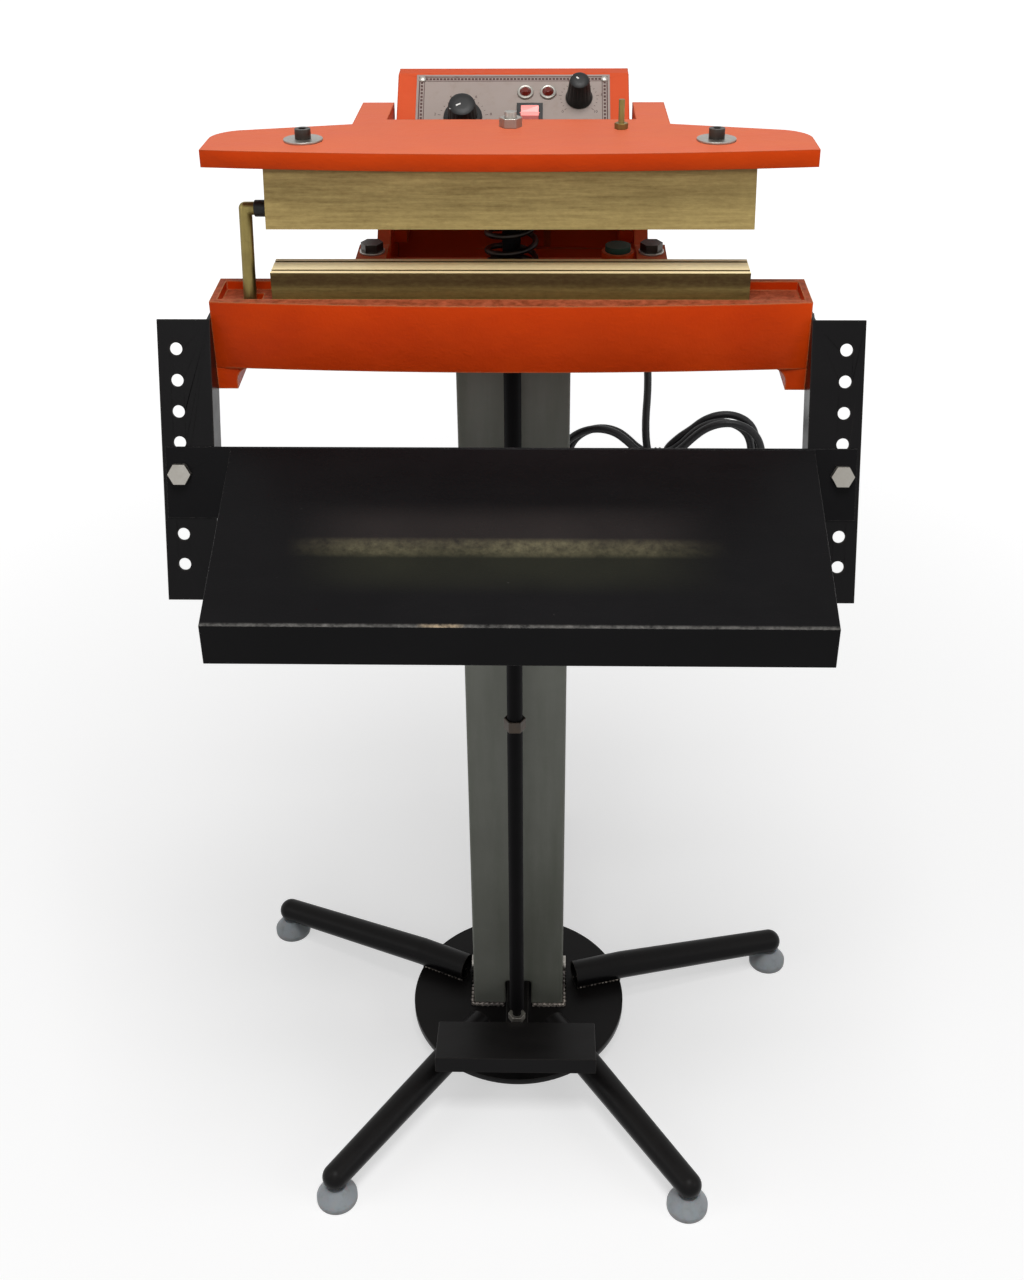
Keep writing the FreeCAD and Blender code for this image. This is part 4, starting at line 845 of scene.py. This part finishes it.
@dataclass
class ColumnPost(SubAssembly):
    """The grey channel, its cap and the bead round its foot."""

    dressings: Dressings = (
        ("column", CHANNEL, 3.0), ("column_cap", GREY, 1.5), ("head_bolts", ZINC, 0.6))
    half: float = 53.0
    front: float = -15.0
    back: float = 47.0
    slot_half: float = 17.0
    bead: float = 2.6
    bead_out: float = 1.5
    bead_height: float = 33.8
    waver: float = 0.6
    step: float = 1.6

    def add_pieces(self) -> None:
        """Lay the bead where the column meets the disk."""
        shape = bmesh.new()
        out, ahead = self.half + self.bead_out, self.front - self.bead_out
        for hand in (-1.0, 1.0):
            corners = [(self.slot_half * hand, ahead), (self.half * hand, ahead),
                       (out * hand, self.front), (out * hand, self.back)]
            path = []
            for (x0, y0), (x1, y1) in zip(corners, corners[1:]):
                steps = max(2, round(math.hypot(x1 - x0, y1 - y0) / self.step))
                path += [in_frame(x0 + (x1 - x0) * n / steps, y0 + (y1 - y0) * n / steps,
                                  self.bead_height) for n in range(steps)]
            radii = [self.bead + self.waver * math.sin(n * 1.7) for n in range(len(path))]
            tube(shape, path, radii)
        new_piece("column_welds", shape, WELD, "frame")


@dataclass
class CastHead(SubAssembly):
    """The orange body and beam, with the bolts that join them and the body's rear wall."""

    dressings: Dressings = (
        ("body_frame", ORANGE, 2.0), ("lower_beam", BEAM_ORANGE, 2.5),
        ("beam_bolts", DARK_STEEL, 0.6), ("beam_washers", ZINC, 0.4), ("stop_pad", PAD, 0.8),
        ("arm_pivot_pins", ZINC, 0.8))
    wall_half: float = 107.8
    wall_front: float = 59.6
    wall_thick: float = 10.8
    wall_low: float = 948.0
    wall_high: float = 989.6
    fillet: float = 5.0
    fillet_steps: int = 6

    def add_pieces(self) -> None:
        """Carry the wall between the cheeks up to the control box, filleted into both cheeks."""
        shape = bmesh.new()
        turns = [math.radians(90.0 * n / self.fillet_steps) for n in range(self.fillet_steps + 1)]
        outline = []
        for hand in (1.0, -1.0):
            for face, away in ((self.wall_front + self.wall_thick, 1.0), (self.wall_front, -1.0)):
                arc = [(hand * (self.wall_half - self.fillet * (1.0 - math.sin(turn))),
                        face + away * self.fillet * (1.0 - math.cos(turn))) for turn in turns]
                outline += arc if hand == away else arc[::-1]
        skin(shape, [[shape.verts.new(in_frame(x, y, z)) for x, y in outline]
                     for z in (self.wall_low, self.wall_high)])
        new_piece("rear_wall", shape, ORANGE, "frame")


@dataclass
class JawSet(SubAssembly):
    """The two brass jaws with their heaters and the wire conduit."""

    dressings: Dressings = (
        ("lower_jaw", LOWER_BRASS, 0.8), ("upper_jaw", UPPER_BRASS, 1.2),
        ("lower_heater", CARTRIDGE, 0.0), ("upper_heater", CARTRIDGE, 0.0),
        ("wire_conduit", PIPE_BRASS, 0.5), ("conduit_sleeve", CASE_PLASTIC, 0.6))


@dataclass
class UpperArm(SubAssembly):
    """The orange arm with its screws, eye bolt and stop screw."""

    dressings: Dressings = (
        ("upper_arm", ORANGE, 3.0), ("arm_bushes", BRONZE, 0.4), ("jaw_screws", DARK_STEEL, 0.5),
        ("jaw_washers", ZINC, 0.4), ("eye_bolt", ZINC, 0.5), ("eye_nut", ZINC, 0.6),
        ("stop_screw", PIPE_BRASS, 0.4), ("stop_nut", PIPE_BRASS, 0.4))


@dataclass
class PullLinkage(SubAssembly):
    """The pull rod, its fork and nuts, and the return spring round it."""

    dressings: Dressings = (
        ("rod_fork", DARK_STEEL, 0.8), ("fork_pin", ZINC, 0.5), ("spring_cup", DARK_STEEL, 0.8),
        ("pull_rod_upper", ROD_BLACK, 0.0), ("pull_rod_lower", ROD_BLACK, 0.0),
        ("rod_coupling", DARK_STEEL, 1.0), ("rod_nuts", ZINC, 0.6))
    spring_back: float = -34.5
    spring_low: float = 976.3
    spring_high: float = 1026.8
    coil_radius: float = 21.0
    wire: float = 2.6
    turns: float = 4.0
    dead_turns: float = 0.85
    closed_pitch: float = 2.02
    turn_steps: int = 36
    closed_share: float = 0.52

    def add_pieces(self) -> None:
        """Wind the return spring with closed ends, in place of the CAD spring."""
        low, high = self.spring_low + self.wire, self.spring_high - self.wire
        pitch = self.wire * self.closed_pitch
        live_rise = high - low - 2 * self.dead_turns * pitch
        path = []
        for n in range(int(self.turns * self.turn_steps) + 1):
            turn = n / self.turn_steps
            live = (turn - self.dead_turns) / (self.turns - 2 * self.dead_turns)
            dead = min(turn, self.dead_turns) + max(turn - self.turns + self.dead_turns, 0.0)
            path.append(in_frame(self.coil_radius * math.cos(math.tau * turn),
                                 self.spring_back + self.coil_radius * math.sin(math.tau * turn),
                                 low + dead * pitch + min(max(live, 0.0), 1.0) * live_rise))
        shape = bmesh.new()
        tube(shape, path, [self.wire] * len(path), 14)
        spring = new_piece("coiled_spring", shape, SPRING_STEEL, "frame")
        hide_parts("return_spring")
        tuple(in_frame(0.0, 0.0, self.spring_low))
        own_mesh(spring)


@dataclass
class PedalSet(SubAssembly):
    """The pedal's plate, lever and pin."""

    dressings: Dressings = (
        ("pedal_plate", BLACK, 1.2), ("pedal_lever", BLACK, 0.8), ("pedal_pin", ZINC, 0.8))


@dataclass
class WorkTray(SubAssembly):
    """The sloping tray, its drilled brackets and their bolts."""

    dressings: Dressings = (
        ("tray", TRAY_BLACK, 0.6), ("bracket_left", BLACK, 0.5), ("bracket_right", BLACK, 0.5),
        ("bracket_bolts", DARK_STEEL, 0.5), ("tray_bolts", ZINC, 0.6), ("tray_nuts", ZINC, 0.6))


@dataclass(frozen=True)
class Knob:
    """A fluted knob with its pointer and the scale printed round it, in millimetres."""

    name: str
    node: str
    scale: str
    place: Pair
    scale_radius: float
    profile: Outline
    flutes: int
    pointing: float
    plain_foot: float = 3.4
    plain_top: float = 2.0
    flute_depth: float = 0.55
    line_start: float = 1.0
    line_half: float = 0.7

    def groove(self, angle: float, height: float) -> float:
        """Return how deep the grip is cut at a point, and 0 at the plain foot and top."""
        if self.plain_foot < height < self.profile[-1][1] - self.plain_top:
            return self.flute_depth * max(0.0, math.cos(angle * self.flutes)) ** 2
        return 0.0


TIMER = Knob("timer_grip", "timer_knob", "dial_scale", (-44.0, 27.0), 20.0, (
    (17.0, 0.0), (17.2, 0.8), (16.8, 2.6), (15.4, 3.6), (13.2, 4.2), (12.9, 6.0),
    (12.6, 12.0), (12.2, 17.0), (11.4, 19.6), (9.4, 20.7), (5.0, 21.0)), 18, 205.0)
TEMPERATURE = Knob("temperature_grip", "temperature_knob", "tall_scale", (58.5, 48.0), 15.5, (
    (11.9, 0.0), (12.0, 1.0), (11.4, 2.4), (10.9, 3.4), (10.4, 8.0), (9.6, 16.0),
    (8.9, 22.0), (8.3, 24.6), (6.6, 25.7), (3.5, 26.0)), 14, 140.0)


@dataclass
class ControlBox(SubAssembly):
    """The folded box with its printed panel, knobs, lamps and rocker.

    Places on the panel are millimetres across from its middle, up its slope and out of it.
    """

    dressings: Dressings = (
        ("control_box", BOX_ORANGE, 1.2), ("box_cover", BOX_ORANGE, 0.5),
        ("control_panel", FILM, 0.0), ("regulators", CASE_PLASTIC, 0.0),
        ("pilot_lamps", LENS, 0.4), ("rocker_housing", CASE_PLASTIC, 0.4),
        ("rocker_switch", ROCKER, 0.4))
    front: float = 25.0
    foot: float = 1068.0
    tilt: float = math.radians(38.4)
    film: float = 1.5
    ink: float = 1.62
    knob_seat: float = 1.8
    half: float = 86.0
    start: float = 7.0
    end: float = 73.0
    border_lines: tuple[Pair, ...] = ((2.0, 1.0), (6.6, 0.6))
    dashes: tuple[int, int] = (52, 14)
    first_dash: Pair = (6.0, 8.5)
    dash_inset: Pair = (4.7, 4.8)
    knobs: tuple[Knob, ...] = (TIMER, TEMPERATURE)
    marks: tuple[str, ...] = ("0", "2", "4", "6", "8", "10")
    mark_size: float = 3.8
    mark_gap: float = 5.0
    ticks: int = 21
    tick_half: float = 0.22
    tick_lengths: Pair = (2.6, 1.4)
    sweep: Pair = (225.0, -270.0)
    screw_inset: float = 5.0
    screw: Outline = ((3.2, 0.0), (3.2, 0.5), (2.8, 1.1), (1.9, 1.6), (0.8, 1.8))
    lamps: tuple[Pair, ...] = ((11.0, 53.5), (31.0, 53.5))
    rim: Outline = ((7.3, 0.0), (7.4, 1.2), (7.0, 2.2), (6.0, 2.7), (5.1, 2.4), (5.0, 2.0))

    def on_panel(self, x: float, up: float, out: float) -> Vector:
        """Return the frame's point that is this far across, up and out of the sloping face."""
        return in_frame(x, self.front + up * math.cos(self.tilt) - out * math.sin(self.tilt),
                        self.foot + up * math.sin(self.tilt) + out * math.cos(self.tilt))

    def panel_place(self, x: float, up: float, out: float) -> Matrix:
        """Return the matrix that stands a form upright on the sloping face."""
        return Matrix.Translation(self.on_panel(x, up, out)) @ Matrix.Rotation(self.tilt, 4, "X")

    def add_pieces(self) -> None:
        """Print the panel, turn its knobs and set its screws and lamp rims."""
        self.print_border()
        for knob in self.knobs:
            self.print_scale(knob)
        for knob in self.knobs:
            self.turn_knob(knob)
        across = self.half - self.screw_inset
        corners = [(x, up) for x in (-across, across)
                   for up in (self.start + self.screw_inset, self.end - self.screw_inset)]
        self.set_turned("panel_screws", self.screw, corners, 24, "zinc_steel")
        self.set_turned("lamp_rims", self.rim, self.lamps, 36, "lamp_lens")

    def bar(self, shape: bmesh.types.BMesh, low: Pair, high: Pair) -> None:
        """Add one thin printed bar, between two opposite corners, to a bmesh."""
        corners = (low, (high[0], low[1]), high, (low[0], high[1]))
        shape.faces.new([shape.verts.new(self.on_panel(*c, self.ink)) for c in corners])

    def print_border(self) -> None:
        """Print the panel's border: two lines with a row of short dashes between them."""
        shape = bmesh.new()
        for inset, thick in self.border_lines:
            right = self.half - inset
            low, high = self.start + inset, self.end - inset
            self.bar(shape, (-right, low), (right, low + thick))
            self.bar(shape, (-right, high - thick), (right, high))
            self.bar(shape, (-right, low + thick), (thick - right, high - thick))
            self.bar(shape, (right - thick, low + thick), (right, high - thick))
        for n in range(self.dashes[0]):
            x = (self.half - self.first_dash[0]) * (2 * n / (self.dashes[0] - 1) - 1)
            for up in (self.start + self.dash_inset[1], self.end - self.dash_inset[1]):
                self.bar(shape, (x - 1.15, up - 1.0), (x + 1.15, up + 1.0))
        low, high = self.start + self.first_dash[1], self.end - self.first_dash[1]
        for n in range(self.dashes[1]):
            up = low + (high - low) * n / (self.dashes[1] - 1)
            for x in (self.dash_inset[0] - self.half, self.half - self.dash_inset[0]):
                self.bar(shape, (x - 1.0, up - 1.2), (x + 1.0, up + 1.2))
        new_piece("panel_border", shape, INK, "frame")

    def swept(self, share: float) -> Vector:
        """Return the direction from a knob's middle to this share of its scale."""
        angle = math.radians(self.sweep[0] + self.sweep[1] * share)
        return Vector((math.cos(angle), math.sin(angle)))

    def print_scale(self, knob: Knob) -> None:
        """Print a knob's tick marks and plain numbers."""
        shape = bmesh.new()
        middle = Vector(knob.place)
        for n in range(self.ticks):
            ahead = self.swept(n / (self.ticks - 1))
            side = Vector((-ahead.y, ahead.x)) * self.tick_half
            near = middle + ahead * knob.scale_radius
            far = near + ahead * self.tick_lengths[0 if n % 4 == 0 else 1]
            shape.faces.new([shape.verts.new(self.on_panel(*c, self.ink))
                             for c in (near - side, far - side, far + side, near + side)])
        for n, text in enumerate(self.marks):
            ahead = self.swept(n / (len(self.marks) - 1))
            self.print_word(shape, text, middle + ahead * (knob.scale_radius + self.mark_gap))
        new_piece(knob.scale, shape, INK, "frame")

    def print_word(self, shape: bmesh.types.BMesh, text: str, middle: Vector) -> None:
        """Add a number, centred on a point of the panel, to a bmesh."""
        letters = bpy.data.curves.new("number", "FONT")
        letters.body = text
        letters.size = self.mark_size * MM
        letters.align_x = "CENTER"
        letters.align_y = "CENTER"
        holder = bpy.data.objects.new("number", letters)
        flat = bpy.data.meshes.new_from_object(holder)
        flat.transform(self.panel_place(*middle, self.ink))
        shape.from_mesh(flat)
        bpy.data.objects.remove(holder)
        bpy.data.curves.remove(letters)
        bpy.data.meshes.remove(flat)

    def turn_knob(self, knob: Knob) -> None:
        """Replace a CAD knob by a finely turned one, and inlay its pointer's white line."""
        place = self.panel_place(*knob.place, self.knob_seat)
        shape = bmesh.new()
        turned(shape, knob.profile, place, knob.flutes * 8, knob.groove)
        grip = new_piece(knob.name, shape, KNOB, knob.node)
        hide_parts(knob.node)
        shape = bmesh.new()
        turn = place @ Matrix.Rotation(math.radians(knob.pointing), 4, "Z")
        (rim, rim_top), (flat, top) = knob.profile[-3], knob.profile[-1]
        line = ((knob.line_start, top + 0.05), (flat, top + 0.05), (rim, rim_top + 0.15))
        left, right = [[shape.verts.new(turn @ (Vector((reach, hand * knob.line_half, up)) * MM))
                        for reach, up in line] for hand in (-1.0, 1.0)]
        for n in (0, 1):
            shape.faces.new((left[n], left[n + 1], right[n + 1], right[n]))
        new_piece(knob.name + "_pointer", shape, POINTER, knob.node)

    def set_turned(self, name: str, profile: Outline, places: tuple[Pair, ...] | list[Pair],
                   steps: int, material_slot: str) -> None:
        """Set a bright turned form on the panel at each of some places.

        Args:
            name: The piece's name.
            profile: The form's radii and heights in millimetres.
            places: Where the forms stand on the panel.
            steps: Number of faces around each.
            material_slot: Not used.
        """
        shape = bmesh.new()
        for x, up in places:
            turned(shape, profile, self.panel_place(x, up, self.film), steps)
        new_piece(name, shape, ZINC, "frame")


@dataclass
class MainsLead(SubAssembly):
    """The black mains lead: down behind the head to a hank that is tied in the middle."""

    dressings: Dressings = (("plug", CASE_PLASTIC, 1.5),)
    radius: float = 4.0
    length: float = 1.8
    fall: tuple[Triple, ...] = (
        (80.0, 136.0, 1020.0), (80.0, 214.0, 1020.0), (118.0, 220.0, 905.0),
        (139.0, 160.0, 800.0), (131.0, 106.0, 728.0), (150.0, 105.0, 694.0))
    tail: tuple[Triple, ...] = (
        (170.0, 128.0, 728.0), (154.0, 126.0, 712.0), (154.0, 118.0, 682.0),
        (154.0, 118.0, 655.0))
    tie: Triple = (148.0, 118.0, 706.0)
    tie_reach: Pair = (17.5, 11.0)
    tie_strand: float = 1.5
    tie_steps: int = 32
    waist: float = 4.5
    bend: float = 32.0
    flare: float = 47.0
    lobe_radii: tuple[float, ...] = (41.0, 40.0, 37.0, 36.0, 40.0)
    layers: tuple[float, ...] = (-13.0, -6.0, -2.0, 2.0, 6.0, 10.0)
    gland: Triple = (80.0, 102.0, 1020.0)
    nut: Outline = ((11.6, 0.0), (12.6, 0.8), (12.6, 7.2), (11.8, 8.0))
    boot_start: Outline = ((10.0, 7.9), (10.2, 8.6))
    boot_end: Outline = ((4.8, 33.8), (4.15, 34.0))
    ribs: int = 6
    first_rib: Pair = (9.6, 9.4)
    next_rib: Pair = (-0.7, 4.0)
    rib: Outline = ((0.0, 0.0), (0.5, 0.7), (0.3, 2.2), (-1.1, 2.8), (-1.1, 3.4))

    def add_pieces(self) -> None:
        """Lay the lead, tie it and add the strain relief."""
        route = self.route()
        curve = bpy.data.curves.new("mains_lead", "CURVE")
        curve.dimensions = "3D"
        curve.bevel_depth = self.radius * MM
        curve.bevel_resolution = 5
        curve.resolution_u = 8
        spline = curve.splines.new("NURBS")
        spline.points.add(len(route) - 1)
        for point, spot in zip(spline.points, route):
            point.co = (*spot, 1.0)
        spline.order_u = 3
        spline.use_endpoint_u = True
        lead = bpy.data.objects.new("mains_lead", curve)
        bpy.context.scene.collection.objects.link(lead)
        curve.materials.append(SHEATH.build())
        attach(lead, "frame")
        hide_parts("power_cord", "cord_hank")
        LOG.info("laid the lead with %d points", len(route))
        self.add_tie()
        self.add_strain_relief()

    def route(self) -> list[Vector]:
        """Return the lead's points, from the gland down to the hank and through its lobes."""
        points = list(self.fall)
        for number, radius in enumerate(self.lobe_radii):
            side = 1.0 if number % 2 == 0 else -1.0
            lobe = self.lobe(radius)[3 if number == 0 else 1:]
            if number == len(self.lobe_radii) - 1:
                lobe = lobe[:-3]
            first, last = self.layers[number:number + 2]
            for n, (out, over) in enumerate(lobe):
                layer = first + (last - first) * n / (len(lobe) - 1)
                points.append((self.tie[0] + side * out, self.tie[1] + layer * (1 + out / 260),
                               self.tie[2] - side * over + 0.12 * max(side * out, 0.0)))
        return [in_frame(*point) for point in (*points, *self.tail)]

    def lobe(self, radius: float) -> list[Pair]:
        """Return one lobe, as distances out from the tie and over the hank's middle line.

        Args:
            radius: The radius of the lobe's end in millimetres.

        Returns:
            The points, from the first strand at the waist round to the second one.
        """
        slope = math.radians(self.flare)
        start = (self.bend * math.sin(slope), self.waist + self.bend * (1 - math.cos(slope)))
        middle = start[0] + (radius - start[1] * math.cos(slope)) / math.sin(slope)
        half = [(0.0, self.waist), (start[0] * 0.5, self.waist + 2.6), start]
        half += [(middle - radius * math.cos(turn), radius * math.sin(turn))
                 for turn in [math.radians(40.0 + 22.5 * n) for n in range(6)]]
        return half + [(middle + radius, 0.0)] + [(out, -over) for out, over in reversed(half)]

    def add_tie(self) -> None:
        """Wind two turns of a plastic tie round the hank's middle and leave its end standing."""
        shape = bmesh.new()
        x, y, z = self.tie
        for shift in (-2.2, 2.2):
            turns = [math.tau * n / self.tie_steps for n in range(self.tie_steps)]
            path = [in_frame(x + shift, y - 1.5 + self.tie_reach[0] * math.cos(turn),
                             z + self.tie_reach[1] * math.sin(turn)) for turn in turns]
            tube(shape, path, [self.tie_strand] * len(path), closed=True)
        end = [in_frame(x + 6.0 * n, y - 18.0 - 0.8 * n, z + 6.0 - 0.9 * n * n) for n in range(5)]
        tube(shape, end, [self.tie_strand - 0.2] * len(end))
        new_piece("hank_tie", shape, TIE, "frame")

    def add_strain_relief(self) -> None:
        """Turn the gland's nut and its ribbed, tapered boot."""
        shape = bmesh.new()
        place = Matrix.Translation(in_frame(*self.gland)) @ Matrix.Rotation(
            math.radians(-90.0), 4, "X")
        turned(shape, self.nut, place, 6)
        boot = list(self.boot_start)
        for n in range(self.ribs):
            boot += [(self.first_rib[0] + self.next_rib[0] * n + out,
                      self.first_rib[1] + self.next_rib[1] * n + up) for out, up in self.rib]
        turned(shape, (*boot, *self.boot_end), place, 32)
        relief = new_piece("strain_relief", shape, CASE_PLASTIC, "frame")
        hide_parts("cable_gland")


@dataclass(frozen=True)
class Lamp:
    """A square lamp: its place and the point that it faces in metres, its width and its watts."""

    name: str
    place: Triple
    target: Triple
    size: float
    watts: float

    def hang(self) -> None:
        """Hang the lamp and aim it."""
        lamp = bpy.data.lights.new(self.name, "AREA")
        lamp.size = self.size
        lamp.energy = self.watts
        holder = bpy.data.objects.new(self.name, lamp)
        bpy.context.scene.collection.objects.link(holder)
        holder.location = self.place
        holder.rotation_mode = "QUATERNION"
        aim = Vector(self.target) - Vector(self.place)
        holder.rotation_quaternion = aim.to_track_quat("-Z", "Y")


@dataclass
class Studio:
    """The pale floor, the soft lights and the camera at the photograph's place."""

    lamps: tuple[Lamp, ...] = (
        Lamp("high_lamp", (0.1, -1.0, 3.15), (0.0, 0.0, 0.9), 1.1, 52.0),
        Lamp("front_lamp", (-0.4, -3.2, 2.1), (0.0, 0.0, 0.8), 1.2, 5.0),
        Lamp("right_lamp", (2.6, -1.2, 1.8), (0.0, 0.0, 0.7), 1.2, 8.0),
        Lamp("left_lamp", (-2.6, -1.0, 1.9), (0.0, 0.0, 0.7), 1.2, 8.0))
    room: float = 0.10
    floor_half: float = 30.0
    floor_drop: float = 0.0005
    floor_glow: float = 0.55
    glow_from: float = 1.6
    glow_softness: float = 1.3
    eye: Triple = (32.1, -1287.8, 1457.3)
    pitch: float = 30.99
    yaw: float = 1.43
    roll: float = -0.47
    lens: float = 42.54
    sensor: float = 36.0
    shift: Pair = (-0.0022, -0.0818)

    def build(self) -> None:
        """Set up everything that isn't part of the object."""
        self.lay_floor()
        for lamp in self.lamps:
            lamp.hang()
        self.set_world()
        self.place_camera()

    def lay_floor(self) -> None:
        """Lay a large pale floor that glows to nearly white and keeps the object's shadow."""
        mesh = bpy.data.meshes.new("floor")
        shape = bmesh.new()
        bmesh.ops.create_grid(shape, x_segments=2, y_segments=2, size=self.floor_half)
        shape.to_mesh(mesh)
        shape.free()
        floor = bpy.data.objects.new("floor", mesh)
        bpy.context.scene.collection.objects.link(floor)
        floor.location.z = -self.floor_drop
        sheet = ShaderSheet("pale_floor")
        far = sheet.node("ShaderNodeVectorMath", {"operation": "LENGTH"}, {0: sheet.place})
        outer = Signal(sheet, far.outputs["Value"]).above(self.glow_from, self.glow_softness)
        share = outer * (1.0 - self.floor_glow) + self.floor_glow
        glow = sheet.mix((0.0, 0.0, 0.0), WHITE, share * sheet.shown())
        for socket, value in (("Base Color", (0.62, 0.62, 0.62)), ("Roughness", 0.9),
                              ("Specular IOR Level", 0.1), ("Emission Strength", 1.0),
                              ("Emission Color", glow)):
            sheet.fill(sheet.shader.inputs[socket], value)
        mesh.materials.append(sheet.material)

    def set_world(self) -> None:
        """Fill the room with even light, and show it white to the camera and to reflections."""
        world = bpy.data.worlds.new("room")
        bpy.context.scene.world = world
        world.use_nodes = True
        sheet = NodeSheet(world.node_tree)
        level = self.room + sheet.shown() * (1.0 - self.room)
        sky = sheet.node("ShaderNodeBackground", None, {"Color": WHITE, "Strength": level})
        sheet.node("ShaderNodeOutputWorld", None, {"Surface": sky.outputs[0]})

    def place_camera(self) -> None:
        """Put the camera where the photograph was taken from."""
        camera = bpy.data.cameras.new("camera")
        camera.lens = self.lens
        camera.sensor_width = self.sensor
        camera.shift_x, camera.shift_y = self.shift
        camera.clip_start, camera.clip_end = 0.05, 100.0
        holder = bpy.data.objects.new("camera", camera)
        bpy.context.scene.collection.objects.link(holder)
        turn = (Matrix.Rotation(math.radians(self.yaw), 4, "Z")
                @ Matrix.Rotation(math.radians(90.0 - self.pitch), 4, "X")
                @ Matrix.Rotation(math.radians(self.roll), 4, "Z"))
        holder.matrix_world = Matrix.Translation(in_frame(*self.eye)) @ turn
        bpy.context.scene.camera = holder


def main() -> None:
    """Build every sub-assembly in order, then the studio."""
    logging.basicConfig(level=logging.INFO, format="%(name)s: %(message)s")
    bpy.context.scene.view_settings.view_transform = "Standard"
    for part in (FootStand(), ColumnPost(), CastHead(), JawSet(), UpperArm(), PullLinkage(),
                 PedalSet(), WorkTray(), ControlBox(), MainsLead()):
        part.build()
        LOG.info("built %s", type(part).__name__)
    Studio().build()


if __name__ == "__main__":
    main()
